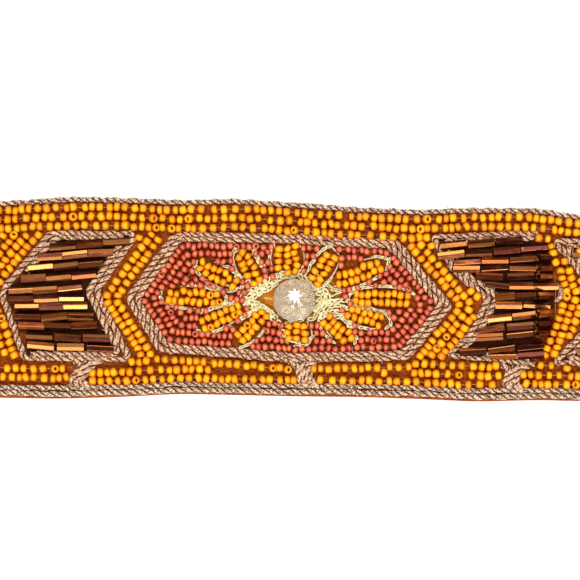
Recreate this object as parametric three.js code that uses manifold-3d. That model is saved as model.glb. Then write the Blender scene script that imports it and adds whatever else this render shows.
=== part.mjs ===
// A beaded belt that lies on its back. X runs along the belt, Y across it and Z up from its underside.
import * as THREE from 'three';
import { mergeVertices } from 'three/addons/utils/BufferGeometryUtils.js';
import { ConvexGeometry } from 'three/addons/geometries/ConvexGeometry.js';
import Module from 'manifold-3d';

const wasm = await Module();
wasm.setup();

// The suede band and the space that sewn pieces keep to what carries them, in millimetres
const BELT_LENGTH = 760;
const BELT_WIDTH = 50.8;
const BAND_THICKNESS = 1.8;
const BAND_ROUNDING = 0.4;
const END_CORNER_RADIUS = 6;
const SEAT_GAP = 0.3;

// Twisted cord, couched down along the edges and round every panel
const CORD_DIAMETER = 1.5;
const EDGE_CORD_MARGIN = 0.1;
const EDGE_CORD_GAP = 0.1;
const EDGE_CORD_END_SETBACK = 3;
const EDGE_STEPS = 30;

// Seed beads on strings
const SEED_DIAMETER = 2;
const SEED_ROW_PITCH = 2.2;
const CLOSING_ROWS = 2;

// Arrow panels of bugle beads, which point away from the middle panel on either side
const PANEL_PITCH = 32;
const PLAIN_END = 76;
const PANEL_SWAY = 0.3;
const PANEL_SWAY_STEP = 2.4;
const BUGLE_DIAMETER = 1.8;
const BUGLE_ROW_PITCH = 2.4;
const BUGLE_LAP = 0.15;

// The middle panel with its flower and stone
const MIDDLE_PANEL_LENGTH = 84.7;
const FLOWER_LENGTH = 66.3;
const PETAL_SETBACK = 1.6;
const STITCH_THICKNESS = 0.8;
const STONE_DIAMETER = 11.2;
const STONE_HEIGHT = 4.2;
const STONE_HOLE_DIAMETER = 1.2;

// A plain sheet-metal hook and eye, let into the underside of the ends
const METAL_THICKNESS = 0.8;
const HOOK_WIDTH = 18;
const HOOK_REACH = 7;
const HOOK_MOUTH = 2.4;
const TONGUE_LENGTH = 5.5;
const PLATE_INSERT = 16;
const EYE_SIDE_BAR = 3.3;
const EYE_END_BAR = 2;
const SLOT_SLACK = 1.5;

const HALF_LENGTH = BELT_LENGTH / 2;
const HALF_WIDTH = BELT_WIDTH / 2;
const HALF_MIDDLE = MIDDLE_PANEL_LENGTH / 2;
const CORD_RADIUS = CORD_DIAMETER / 2;
const DOUBLE_CORD_INNER = CORD_RADIUS + CORD_DIAMETER;
const SEAT = BAND_THICKNESS + SEAT_GAP;

// The waving edges: place along the half length, and each edge's height as a share of the half width
const EDGE_WAVE = [
  { at: -1, top: 1, bottom: 1 },
  { at: -0.85, top: 1.01, bottom: 1.02 },
  { at: -0.7, top: 0.99, bottom: 1.01 },
  { at: -0.55, top: 1.005, bottom: 1.03 },
  { at: -0.42, top: 1.01, bottom: 1.035 },
  { at: -0.3, top: 0.985, bottom: 1.055 },
  { at: -0.204, top: 0.965, bottom: 1.067 },
  { at: -0.162, top: 1.016, bottom: 1.067 },
  { at: -0.121, top: 1.028, bottom: 1.043 },
  { at: -0.079, top: 1.008, bottom: 1 },
  { at: -0.038, top: 1.039, bottom: 1 },
  { at: 0.004, top: 1, bottom: 0.998 },
  { at: 0.045, top: 0.972, bottom: 0.988 },
  { at: 0.087, top: 0.953, bottom: 0.996 },
  { at: 0.128, top: 0.996, bottom: 1.016 },
  { at: 0.17, top: 0.988, bottom: 0.992 },
  { at: 0.197, top: 0.935, bottom: 0.996 },
  { at: 0.26, top: 0.95, bottom: 1 },
  { at: 0.33, top: 0.98, bottom: 1.01 },
  { at: 0.45, top: 1, bottom: 1 },
  { at: 0.6, top: 0.985, bottom: 1.01 },
  { at: 0.75, top: 1, bottom: 0.995 },
  { at: 0.9, top: 0.99, bottom: 1 },
  { at: 1, top: 1, bottom: 1 },
];

// Corners of an arrow panel, at the middle of its outer cord: x as a share of the panel pitch, away from
// the middle panel, and y as a share of the half width. The near side is notched and the far side pointed.
const ARROW = {
  nearTop: [0, 0.65],
  farTop: [0.75, 0.66],
  tip: [1.08, 0.02],
  farBottom: [0.84, -0.625],
  nearBottom: [0.02, -0.61],
  lowerNotch: [0.26, -0.3],
  apex: [0.44, 0.03],
  upperNotch: [0.25, 0.3],
};
// On the left side the near corners lie further from the middle panel
const LEFT_ARROW = { ...ARROW, nearTop: [0.12, 0.65], nearBottom: [0.13, -0.61] };
const FIRST_LEFT_ARROW = {
  nearTop: [0, 0.654],
  farTop: [0.706, 0.646],
  tip: [1.1, 0.012],
  farBottom: [0.897, -0.638],
  nearBottom: [0.03, -0.626],
  lowerNotch: [0.175, -0.3],
  apex: [0.32, 0.04],
  upperNotch: [0.165, 0.33],
};
const FIRST_RIGHT_ARROW = {
  nearTop: [0, 0.646],
  farTop: [0.88, 0.715],
  tip: [1.07, 0.11],
  farBottom: [0.8625, -0.622],
  nearBottom: [0.147, -0.543],
  lowerNotch: [0.34, -0.299],
  apex: [0.478, 0.055],
  upperNotch: [0.225, 0.272],
};
// Sides of an arrow panel in the order of its corners: the pointed far side has a single cord
const SINGLE_CORD_SIDES = [1, 2];

// Where the arrow panels start, as shares of the middle panel's half length
const LEFT_START = 0.992;
const RIGHT_START = 0.85;

// Corners of the middle panel at its outer cord: shares of its half length and of the half width
const MIDDLE_PANEL = [
  [-1.034, -0.024],
  [-0.749, 0.634],
  [0, 0.638],
  [0.623, 0.61],
  [0.966, -0.028],
  [0.706, -0.583],
  [0, -0.626],
  [-0.824, -0.547],
];
const SLANTED_SIDES = [0, 3, 4, 7];
const SLANTED_SIDE_ROWS = 4;
const LEVEL_SIDE_ROWS = 1.4;

// Petals round the stone: middle, length and width as shares of the flower's length, and turn in degrees
const PETALS = [
  { x: -0.401, y: 0.001, length: 0.242, width: 0.074, turn: 178 },
  { x: -0.302, y: 0.09, length: 0.19, width: 0.07, turn: 152 },
  { x: -0.183, y: 0.121, length: 0.165, width: 0.078, turn: 124 },
  { x: -0.03, y: 0.155, length: 0.115, width: 0.12, turn: 92 },
  { x: 0.115, y: 0.131, length: 0.165, width: 0.08, turn: 58 },
  { x: 0.253, y: 0.108, length: 0.235, width: 0.074, turn: 24 },
  { x: 0.35, y: 0.011, length: 0.25, width: 0.078, turn: 0 },
  { x: 0.288, y: -0.064, length: 0.175, width: 0.07, turn: -14 },
  { x: 0.172, y: -0.118, length: 0.15, width: 0.074, turn: -38 },
  { x: 0.012, y: -0.134, length: 0.083, width: 0.107, turn: -90 },
  { x: -0.172, y: -0.114, length: 0.18, width: 0.076, turn: -134 },
  { x: -0.291, y: -0.075, length: 0.195, width: 0.07, turn: -154 },
];
const PETAL_SIDES = 10;
const STITCHING = { length: 0.5, width: 0.25, sides: 16 };

// Levels of the stone's rings of corners and their radii, as shares of its height and of its radius
const STONE_RINGS = [
  { level: 0, radius: 0.45, corners: 8, turn: 0.5 },
  { level: 0.4, radius: 1, corners: 16, turn: 0 },
  { level: 0.5, radius: 1, corners: 16, turn: 0 },
  { level: 0.82, radius: 0.8, corners: 8, turn: 0.5 },
  { level: 1, radius: 0.56, corners: 8, turn: 0 },
];

function solidOf(geometry) {
  const bare = geometry.clone();
  bare.deleteAttribute('normal');
  bare.deleteAttribute('uv');
  const merged = mergeVertices(bare);
  const vertProperties = new Float32Array(merged.attributes.position.array);
  const triVerts = new Uint32Array(merged.index.array);
  return new wasm.Manifold(new wasm.Mesh({ numProp: 3, vertProperties, triVerts }));
}

function geometryOf(solid) {
  const { vertProperties, triVerts } = solid.getMesh();
  const geometry = new THREE.BufferGeometry();
  geometry.setAttribute('position', new THREE.BufferAttribute(vertProperties, 3));
  geometry.setIndex(new THREE.BufferAttribute(triVerts, 1));
  return geometry;
}

function joined(solids) {
  return solids.reduce((whole, next) => whole.add(next));
}

// An outline grown outwards by a distance for each of its sides
function offsetOutline(outline, distances) {
  const turn = Math.sign(THREE.ShapeUtils.area(outline));
  const count = outline.length;
  const outward = outline.map((corner, i) => {
    const along = outline[(i + 1) % count].clone().sub(corner).normalize();
    return new THREE.Vector2(along.y, -along.x).multiplyScalar(turn);
  });
  return outline.map((corner, i) => {
    const before = (i + count - 1) % count;
    const a = outward[before];
    const b = outward[i];
    const cross = a.cross(b);
    const shift = new THREE.Vector2(
      (distances[before] * b.y - distances[i] * a.y) / cross,
      (distances[i] * a.x - distances[before] * b.x) / cross,
    );
    return corner.clone().add(shift);
  });
}

function evenOffset(outline, distance) {
  return offsetOutline(outline, outline.map(() => distance));
}

function rectangle(fromX, toX, width) {
  return [[fromX, -1], [toX, -1], [toX, 1], [fromX, 1]].map(([x, side]) => {
    return new THREE.Vector2(x, side * width / 2);
  });
}

// A flat piece between two levels with bevelled rims
function slab(outline, bottom, height, rim = 0, holes = []) {
  const clockwise = THREE.ShapeUtils.isClockWise(outline);
  const shape = new THREE.Shape(clockwise ? [...outline].reverse() : outline);
  shape.holes = holes.map((hole) => new THREE.Path(hole));
  const geometry = new THREE.ExtrudeGeometry(shape, {
    depth: height - 2 * rim,
    bevelEnabled: rim > 0,
    bevelThickness: rim,
    bevelSize: rim,
    bevelOffset: -rim,
    bevelSegments: 1,
  });
  return geometry.translate(0, 0, bottom + rim);
}

function edgeShare(side, x) {
  const place = x / HALF_LENGTH;
  const after = Math.max(1, EDGE_WAVE.findIndex((row) => row.at >= place));
  const [low, high] = [EDGE_WAVE[after - 1], EDGE_WAVE[after]];
  return THREE.MathUtils.mapLinear(place, low.at, high.at, low[side], high[side]);
}

// The height at which a line of points that runs along the belt passes a place
function heightOn(points, x) {
  const after = points.findIndex((point) => point.x >= x);
  const [low, high] = [points[after - 1], points[after]];
  return THREE.MathUtils.mapLinear(x, low.x, high.x, low.y, high.y);
}

// A curve that runs a set distance inside the top or bottom edge, nearly to the ends of the belt
function edgeCurve(side, inset, level) {
  const reach = HALF_LENGTH - EDGE_CORD_END_SETBACK;
  const between = EDGE_WAVE.map((row) => row.at * HALF_LENGTH).filter((x) => Math.abs(x) < reach);
  const up = side === 'top' ? 1 : -1;
  const points = [-reach, ...between, reach].map((x) => {
    const y = up * (edgeShare(side, x) * HALF_WIDTH - inset);
    return new THREE.Vector3(x, y, level);
  });
  return new THREE.CatmullRomCurve3(points);
}

// A piece of even section along a level curve that runs towards +X. Section points are [across, up].
function sweep(curve, section) {
  const shape = new THREE.Shape(section.map(([across, up]) => new THREE.Vector2(-up, across)));
  return new THREE.ExtrudeGeometry(shape, { steps: EDGE_STEPS, extrudePath: curve });
}

function cordSection() {
  return Array.from({ length: 6 }, (_, i) => {
    const angle = (i + 0.5) * Math.PI / 3;
    const toFlat = CORD_RADIUS / Math.cos(Math.PI / 6);
    return [toFlat * Math.cos(angle), CORD_RADIUS * (1 + Math.sin(angle) / Math.cos(Math.PI / 6))];
  });
}

function arrowOutline(arrow) {
  return Object.values(arrow.shape).map(([x, y]) => {
    const across = y * HALF_WIDTH + PANEL_SWAY * Math.sin(PANEL_SWAY_STEP * arrow.place);
    return new THREE.Vector2(arrow.start + arrow.way * x * PANEL_PITCH, across);
  });
}

function arrowCordDistances(distance, singleDistance) {
  const sides = Object.keys(ARROW).length;
  return Array.from({ length: sides }, (_, i) => {
    return SINGLE_CORD_SIDES.includes(i) ? singleDistance : distance;
  });
}

// Every arrow panel, outwards from the middle panel on either side
function arrowsOn(name, way, firstStart, firstShape, shape) {
  const count = Math.floor((HALF_LENGTH - PLAIN_END - firstStart) / PANEL_PITCH);
  return Array.from({ length: count }, (_, i) => ({
    name: `${name}_${i + 1}`,
    place: i,
    way,
    start: way * (firstStart + i * PANEL_PITCH),
    shape: i === 0 ? firstShape : shape,
  }));
}

const leftArrows = arrowsOn('left', -1, LEFT_START * HALF_MIDDLE, FIRST_LEFT_ARROW, LEFT_ARROW);
const rightArrows = arrowsOn('right', 1, RIGHT_START * HALF_MIDDLE, FIRST_RIGHT_ARROW, ARROW);
const middleOutline = MIDDLE_PANEL.map(([x, y]) => new THREE.Vector2(x * HALF_MIDDLE, y * HALF_WIDTH));
const middleInside = evenOffset(middleOutline, -DOUBLE_CORD_INNER - SEAT_GAP);

function bandOutline() {
  const straight = (point) => Math.abs(point.x) < HALF_LENGTH - END_CORNER_RADIUS;
  const top = edgeCurve('top', 0, 0).getSpacedPoints(EDGE_STEPS).filter(straight);
  const bottom = edgeCurve('bottom', 0, 0).getSpacedPoints(EDGE_STEPS).filter(straight).reverse();
  const shape = new THREE.Shape();
  shape.moveTo(top[0].x, top[0].y);
  top.slice(1).forEach((point) => shape.lineTo(point.x, point.y));
  const corners = [[HALF_LENGTH, top.at(-1).y], [HALF_LENGTH, bottom[0].y]];
  const leftCorners = [[-HALF_LENGTH, bottom.at(-1).y], [-HALF_LENGTH, top[0].y]];
  shape.quadraticCurveTo(...corners[0], HALF_LENGTH, corners[0][1] - END_CORNER_RADIUS);
  shape.lineTo(HALF_LENGTH, corners[1][1] + END_CORNER_RADIUS);
  shape.quadraticCurveTo(...corners[1], bottom[0].x, bottom[0].y);
  bottom.slice(1).forEach((point) => shape.lineTo(point.x, point.y));
  shape.quadraticCurveTo(...leftCorners[0], -HALF_LENGTH, leftCorners[0][1] + END_CORNER_RADIUS);
  shape.lineTo(-HALF_LENGTH, leftCorners[1][1] - END_CORNER_RADIUS);
  shape.quadraticCurveTo(...leftCorners[1], top[0].x, top[0].y);
  return shape.getPoints(3).slice(0, -1);
}

// The hollow under one end of the band that takes a metal plate
function platePocket(way, plateWidth) {
  const length = PLATE_INSERT + SEAT_GAP;
  const depth = METAL_THICKNESS + SEAT_GAP;
  const box = new THREE.BoxGeometry(2 * length, plateWidth + 2 * SEAT_GAP, 2 * depth);
  return solidOf(box.translate(way * HALF_LENGTH, 0, 0));
}

const eyeWidth = HOOK_WIDTH + SLOT_SLACK + 2 * EYE_SIDE_BAR;

function groundBand() {
  return geometryOf(
    solidOf(slab(bandOutline(), 0, BAND_THICKNESS, BAND_ROUNDING))
      .subtract(platePocket(1, HOOK_WIDTH))
      .subtract(platePocket(-1, eyeWidth)),
  );
}

// How far inside the edge the middle of a cord lies, counted from the edge
function edgeCordInset(place) {
  return EDGE_CORD_MARGIN + CORD_RADIUS + (place - 1) * (CORD_DIAMETER + EDGE_CORD_GAP);
}

function edgeCord(side, place) {
  return sweep(edgeCurve(side, edgeCordInset(place), SEAT), cordSection());
}

// The room that a panel and its cord take from the strings of beads round it
function panelWindow(outline) {
  return evenOffset(outline, CORD_RADIUS + SEAT_GAP);
}

// A panel's pointed side moved out past its cord by the closing strings, up to the edge strings
function closingPoints(arrow) {
  const far = CORD_RADIUS + SEAT_GAP + CLOSING_ROWS * SEED_ROW_PITCH;
  const outline = evenOffset(arrowOutline(arrow), far);
  return [outline[1].x, outline[2], outline[3].x];
}

// Strings of seed beads that fill the ground between the edge cords and the panels
function amberSeedField() {
  const [rightTop, rightTip, rightBottom] = closingPoints(rightArrows.at(-1));
  const [leftTop, leftTip, leftBottom] = closingPoints(leftArrows.at(-1));
  const edge = (side, cords, from, to) => {
    const inset = edgeCordInset(cords) + CORD_RADIUS + SEAT_GAP;
    const curve = edgeCurve(side, inset, 0).getSpacedPoints(EDGE_STEPS);
    const inside = curve.filter((point) => point.x > from && point.x < to);
    return [from, ...inside.map((point) => point.x), to].map((x) => {
      return new THREE.Vector2(x, heightOn(curve, x));
    });
  };
  const top = edge('top', 1, leftTop, rightTop);
  const bottom = edge('bottom', 2, leftBottom, rightBottom);
  const outline = [leftTip, ...top, rightTip, ...bottom.reverse()];
  const windows = [...leftArrows, ...rightArrows].map(arrowOutline).concat([middleOutline]);
  return slab(outline, SEAT, SEED_DIAMETER, 0, windows.map(panelWindow));
}

function cordRing(outline, innerDistances) {
  const outer = evenOffset(outline, CORD_RADIUS);
  const inner = offsetOutline(outline, innerDistances);
  return slab(outer, SEAT, CORD_DIAMETER, CORD_DIAMETER / 4, [inner]);
}

// Where a level line crosses an outline that it cuts twice
function spanAt(outline, y) {
  const crossings = outline.flatMap((corner, i) => {
    const next = outline[(i + 1) % outline.length];
    const share = (y - corner.y) / (next.y - corner.y);
    return share >= 0 && share < 1 ? [THREE.MathUtils.lerp(corner.x, next.x, share)] : [];
  });
  return [Math.min(...crossings), Math.max(...crossings)];
}

// Level rows of bugle beads, each cut to the room between the panel's cords
function bugleField(arrow) {
  const distances = arrowCordDistances(-DOUBLE_CORD_INNER - SEAT_GAP, -CORD_RADIUS - SEAT_GAP);
  const room = offsetOutline(arrowOutline(arrow), distances);
  const [top, bottom] = [Math.min(room[0].y, room[1].y), Math.max(room[3].y, room[4].y)];
  const rows = Math.floor((top - bottom) / BUGLE_ROW_PITCH);
  const foot = BUGLE_ROW_PITCH / 2 + BUGLE_LAP;
  const crest = BUGLE_DIAMETER / 4;
  const bars = Array.from({ length: rows }, (_, i) => {
    const y = (top + bottom) / 2 + (i - (rows - 1) / 2) * BUGLE_ROW_PITCH;
    const spans = [y - BUGLE_ROW_PITCH / 2, y, y + BUGLE_ROW_PITCH / 2].map((height) => spanAt(room, height));
    const from = Math.max(...spans.map((span) => span[0]));
    const to = Math.min(...spans.map((span) => span[1]));
    const section = new THREE.Shape([
      new THREE.Vector2(-foot, 0),
      new THREE.Vector2(foot, 0),
      new THREE.Vector2(crest, BUGLE_DIAMETER),
      new THREE.Vector2(-crest, BUGLE_DIAMETER),
    ]);
    const bar = new THREE.ExtrudeGeometry(section, { depth: to - from, bevelEnabled: false });
    return solidOf(bar.rotateX(Math.PI / 2).rotateZ(Math.PI / 2).translate(from, y, SEAT));
  });
  return geometryOf(joined(bars));
}

function petalOutline(petal, growth) {
  const middle = new THREE.Vector2(petal.x, petal.y).multiplyScalar(FLOWER_LENGTH);
  return Array.from({ length: PETAL_SIDES }, (_, i) => {
    const angle = (i + 0.5) * 2 * Math.PI / PETAL_SIDES;
    const corner = new THREE.Vector2(
      (petal.length * FLOWER_LENGTH / 2 + growth) * Math.cos(angle),
      (petal.width * FLOWER_LENGTH / 2 + growth) * Math.sin(angle),
    );
    return corner.rotateAround(new THREE.Vector2(), THREE.MathUtils.degToRad(petal.turn)).add(middle);
  });
}

// A petal, or its shape grown on all sides, trimmed where it comes near the panel's cord
function petalSolid(petal, growth = 0) {
  const outline = petalOutline(petal, growth);
  const room = slab(evenOffset(middleInside, growth - PETAL_SETBACK), 0, SEAT + 2 * SEED_DIAMETER);
  const lobe = growth > 0
    ? slab(outline, 0, SEAT + 2 * SEED_DIAMETER)
    : slab(outline, SEAT, SEED_DIAMETER, SEED_DIAMETER / 4);
  return solidOf(lobe).intersect(solidOf(room));
}

function petalWindows() {
  return joined(PETALS.map((petal) => petalSolid(petal, SEAT_GAP)));
}

function brickSeedField() {
  const distances = middleInside.map((_, i) => {
    return -SEED_ROW_PITCH * (SLANTED_SIDES.includes(i) ? SLANTED_SIDE_ROWS : LEVEL_SIDE_ROWS);
  });
  const inner = offsetOutline(middleInside, distances);
  const ring = solidOf(slab(middleInside, SEAT, SEED_DIAMETER, SEED_DIAMETER / 4, [inner]));
  return geometryOf(ring.subtract(petalWindows()));
}

function flowerStitching() {
  const outline = Array.from({ length: STITCHING.sides }, (_, i) => {
    const angle = i * 2 * Math.PI / STITCHING.sides;
    const x = STITCHING.length / 2 * Math.cos(angle);
    return new THREE.Vector2(x, STITCHING.width / 2 * Math.sin(angle)).multiplyScalar(FLOWER_LENGTH);
  });
  return geometryOf(solidOf(slab(outline, SEAT, STITCH_THICKNESS)).subtract(petalWindows()));
}

function centreStone() {
  const corners = STONE_RINGS.flatMap((ring) => Array.from({ length: ring.corners }, (_, i) => {
    const angle = (i + ring.turn) * 2 * Math.PI / ring.corners;
    const radius = ring.radius * STONE_DIAMETER / 2;
    return new THREE.Vector3(radius * Math.cos(angle), radius * Math.sin(angle), ring.level * STONE_HEIGHT);
  }));
  const hole = new THREE.CylinderGeometry(
    STONE_HOLE_DIAMETER / 2, STONE_HOLE_DIAMETER / 2, 2 * STONE_DIAMETER, 8,
  );
  hole.rotateZ(Math.PI / 2).translate(0, 0, 0.45 * STONE_HEIGHT);
  const stone = solidOf(new ConvexGeometry(corners)).subtract(solidOf(hole));
  return geometryOf(stone).translate(0, 0, SEAT + STITCH_THICKNESS + SEAT_GAP);
}

function hook() {
  const [inner, outer] = [HALF_LENGTH - PLATE_INSERT, HALF_LENGTH + HOOK_REACH];
  const [wall, tongueEnd] = [outer - METAL_THICKNESS, outer - TONGUE_LENGTH];
  const under = METAL_THICKNESS + HOOK_MOUTH;
  const over = under + METAL_THICKNESS;
  const profile = new THREE.Shape([
    new THREE.Vector2(inner, 0),
    new THREE.Vector2(outer, 0),
    new THREE.Vector2(outer, over),
    new THREE.Vector2(tongueEnd, over),
    new THREE.Vector2(tongueEnd, under),
    new THREE.Vector2(wall, under),
    new THREE.Vector2(wall, METAL_THICKNESS),
    new THREE.Vector2(inner, METAL_THICKNESS),
  ]);
  const bent = new THREE.ExtrudeGeometry(profile, { depth: HOOK_WIDTH, bevelEnabled: false });
  return bent.rotateX(Math.PI / 2).translate(0, HOOK_WIDTH / 2, 0);
}

function eye() {
  const slotLength = TONGUE_LENGTH + SLOT_SLACK;
  const slotEnd = -HALF_LENGTH - METAL_THICKNESS;
  const slotStart = slotEnd - slotLength;
  const plate = rectangle(slotStart - EYE_END_BAR, -HALF_LENGTH + PLATE_INSERT, eyeWidth);
  return slab(plate, 0, METAL_THICKNESS, 0, [rectangle(slotStart, slotEnd, HOOK_WIDTH + SLOT_SLACK)]);
}

const suede = { color: 0xb4621e, roughness: 0.95, metalness: 0 };
const cordYarn = { color: 0x9c7f66, roughness: 0.8, metalness: 0 };
const amberGlass = { color: 0xf5a515, roughness: 0.25, metalness: 0 };
const brickGlass = { color: 0xc84b41, roughness: 0.35, metalness: 0 };
const bugleGlass = { color: 0x4a1c14, roughness: 0.12, metalness: 0.3 };
const creamThread = { color: 0xf0ebbe, roughness: 0.75, metalness: 0 };
const clearGlass = { color: 0xe8e4dc, roughness: 0.05, metalness: 0 };
const steel = { color: 0xb8b8b4, roughness: 0.35, metalness: 0.9 };

const belt = new THREE.Group();

function addPiece(name, geometry, finish) {
  const piece = new THREE.Mesh(geometry, new THREE.MeshStandardMaterial(finish));
  piece.name = name;
  belt.add(piece);
}

addPiece('ground_band', groundBand(), suede);
addPiece('top_edge_cord', edgeCord('top', 1), cordYarn);
addPiece('bottom_edge_cord_outer', edgeCord('bottom', 1), cordYarn);
addPiece('bottom_edge_cord_inner', edgeCord('bottom', 2), cordYarn);
addPiece('amber_seed_field', amberSeedField(), amberGlass);
for (const arrow of [...leftArrows, ...rightArrows]) {
  const cordDistances = arrowCordDistances(-DOUBLE_CORD_INNER, -CORD_RADIUS);
  addPiece(`panel_cord_${arrow.name}`, cordRing(arrowOutline(arrow), cordDistances), cordYarn);
  addPiece(`bugle_field_${arrow.name}`, bugleField(arrow), bugleGlass);
}
const hexagonDistances = middleOutline.map(() => -DOUBLE_CORD_INNER);
addPiece('hexagon_cord', cordRing(middleOutline, hexagonDistances), cordYarn);
addPiece('brick_seed_field', brickSeedField(), brickGlass);
PETALS.forEach((petal, i) => addPiece(`petal_${i + 1}`, geometryOf(petalSolid(petal)), amberGlass));
addPiece('flower_stitching', flowerStitching(), creamThread);
addPiece('centre_stone', centreStone(), clearGlass);
addPiece('hook', hook(), steel);
addPiece('eye', eye(), steel);

export default belt;
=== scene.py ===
import math
import random

import bmesh
import bpy
import numpy as np
from mathutils import Matrix, Vector, kdtree


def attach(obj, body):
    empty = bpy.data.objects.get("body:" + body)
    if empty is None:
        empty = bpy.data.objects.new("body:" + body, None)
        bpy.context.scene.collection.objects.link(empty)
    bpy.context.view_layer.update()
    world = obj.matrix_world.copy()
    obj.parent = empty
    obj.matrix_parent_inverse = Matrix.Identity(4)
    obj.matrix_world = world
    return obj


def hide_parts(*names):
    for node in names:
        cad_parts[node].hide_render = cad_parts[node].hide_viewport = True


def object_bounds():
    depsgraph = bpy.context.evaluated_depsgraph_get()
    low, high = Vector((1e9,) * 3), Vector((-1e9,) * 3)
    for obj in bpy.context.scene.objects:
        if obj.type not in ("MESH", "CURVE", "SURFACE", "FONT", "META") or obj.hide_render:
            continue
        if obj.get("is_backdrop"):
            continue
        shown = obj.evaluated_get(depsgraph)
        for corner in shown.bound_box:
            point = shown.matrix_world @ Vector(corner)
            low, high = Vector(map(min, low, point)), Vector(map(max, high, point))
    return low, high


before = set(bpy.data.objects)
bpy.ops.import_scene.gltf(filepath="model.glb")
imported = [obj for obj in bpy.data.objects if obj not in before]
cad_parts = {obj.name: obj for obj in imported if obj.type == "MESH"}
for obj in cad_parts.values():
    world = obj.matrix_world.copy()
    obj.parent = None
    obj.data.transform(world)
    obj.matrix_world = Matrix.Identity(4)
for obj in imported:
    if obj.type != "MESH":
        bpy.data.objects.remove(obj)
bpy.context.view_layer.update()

# The studio: a long lens looks straight down on a white table, turned so that the belt lies a degree
# off level. Long soft lights at several heights, in front and behind, pick out the sides of the glass
# tubes, and a small lamp right above puts one white glint on the stone.
VIEW_WIDTH = 0.1526
LENS = 150
SENSOR = 36
BEAD_LEVEL = 0.003
camera_data = bpy.data.cameras.new("camera")
camera_data.lens, camera_data.sensor_width = LENS, SENSOR
camera_data.clip_start, camera_data.clip_end = 0.01, 50
camera = bpy.data.objects.new("camera", camera_data)
camera.location = (-0.0012, 0.0025, BEAD_LEVEL + VIEW_WIDTH * LENS / SENSOR)
camera.rotation_euler = (0, 0, 0.019)
bpy.context.scene.collection.objects.link(camera)
bpy.context.scene.camera = camera
bpy.context.scene.view_settings.view_transform = "Standard"

studio = bpy.data.worlds.new("studio")
studio.use_nodes = True
studio.node_tree.nodes["Background"].inputs["Color"].default_value = (1, 1, 1, 1)
studio.node_tree.nodes["Background"].inputs["Strength"].default_value = 0.32
bpy.context.scene.world = studio


def soft_light(name, place, size, power, colour, shape="RECTANGLE"):
    lamp = bpy.data.lights.new(name, "AREA")
    lamp.shape = shape
    lamp.size, lamp.size_y = size
    lamp.energy, lamp.color = power, colour
    light = bpy.data.objects.new(name, lamp)
    light.location = place
    light.rotation_euler = Vector(place).to_track_quat("Z", "Y").to_euler()
    light.visible_camera = False
    bpy.context.scene.collection.objects.link(light)


soft_light("front_light", (-0.15, -0.62, 1.05), (1.1, 0.24), 7.4, (1, 0.96, 0.9))
soft_light("low_front_light", (0.1, -1.25, 0.75), (1.2, 0.55), 6.4, (1, 0.97, 0.92))
soft_light("back_light", (0.1, 0.42, 1.15), (1.0, 0.2), 4.6, (1, 0.98, 0.94))
soft_light("low_back_light", (-0.1, 1.2, 0.8), (1.2, 0.3), 4.6, (1, 0.97, 0.93))
soft_light("glint_light", (0.002, 0.0004, 1.3), (0.06, 0.06), 0.3, (1, 1, 1), "ELLIPSE")

# The table: a plain white sheet, bright enough to show no edge round the belt.
TABLE_SIZE = 6
TABLE_GAP = 0.0001
table_mesh = bmesh.new()
bmesh.ops.create_grid(table_mesh, x_segments=1, y_segments=1, size=TABLE_SIZE / 2)
bmesh.ops.translate(table_mesh, verts=table_mesh.verts, vec=(0, 0, -TABLE_GAP))
table_data = bpy.data.meshes.new("table")
table_mesh.to_mesh(table_data)
table_mesh.free()
table = bpy.data.objects.new("table", table_data)
bpy.context.scene.collection.objects.link(table)
table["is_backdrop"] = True
table_paint = bpy.data.materials.new("white_table")
table_paint.use_nodes = True
table_shader = table_paint.node_tree.nodes["Principled BSDF"]
table_shader.inputs["Base Color"].default_value = (0.85, 0.85, 0.85, 1)
table_shader.inputs["Roughness"].default_value = 0.9
table_shader.inputs["Emission Color"].default_value = (1, 1, 1, 1)
table_shader.inputs["Emission Strength"].default_value = 0.5
table_data.materials.append(table_paint)

# The ground: a strip of burnt-orange suede, folded under along its edges, with a plain cotton lining.
# Its edges wave a little, and each end has a hollow underneath for a metal plate. Lengths are in mm.
HALF_LENGTH = 380
HALF_WIDTH = 25.4
BAND_THICKNESS = 1.8
RIM = 0.5
END_CORNER = 6
TOP_TUCK = 0.6
HEM_BULGE = 0.3
PLATE_REACH = 16.3
PLATE_DEPTH = 1.1
HOOK_POCKET, EYE_POCKET = 18.6, 26.7
# Place along the half length, and the height of the top and bottom edges, as shares of the half width
EDGE_WAVE = [
    (-1, 1, 1), (-0.85, 1.01, 1.02), (-0.7, 0.99, 1.01), (-0.55, 1.005, 1.03), (-0.42, 1.01, 1.035),
    (-0.3, 0.985, 1.055), (-0.204, 0.965, 1.067), (-0.162, 1.016, 1.067), (-0.121, 1.028, 1.043),
    (-0.079, 1.008, 1), (-0.038, 1.039, 1), (0.004, 1, 0.998), (0.045, 0.972, 0.988),
    (0.087, 0.953, 0.996), (0.128, 0.996, 1.016), (0.17, 0.988, 0.992), (0.197, 0.935, 0.996),
    (0.26, 0.95, 1), (0.33, 0.98, 1.01), (0.45, 1, 1), (0.6, 0.985, 1.01), (0.75, 1, 0.995),
    (0.9, 0.99, 1), (1, 1, 1),
]
EDGE_STEP = 0.5
EDGE_EASE = 15
BAND_STEPS = (380, 26)
belt_places = np.arange(-HALF_LENGTH, HALF_LENGTH + EDGE_STEP, EDGE_STEP)


def eased_edge(column):
    """The heights of one edge along the belt, from its wave with the corners rounded off."""
    wave = np.array(EDGE_WAVE)
    heights = np.interp(belt_places, wave[:, 0] * HALF_LENGTH, wave[:, column] * HALF_WIDTH)
    padded = np.pad(heights, EDGE_EASE // 2, mode="edge")
    return np.convolve(padded, np.ones(EDGE_EASE) / EDGE_EASE, mode="valid")


edge_heights = {"top": eased_edge(1), "bottom": eased_edge(2)}


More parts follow.
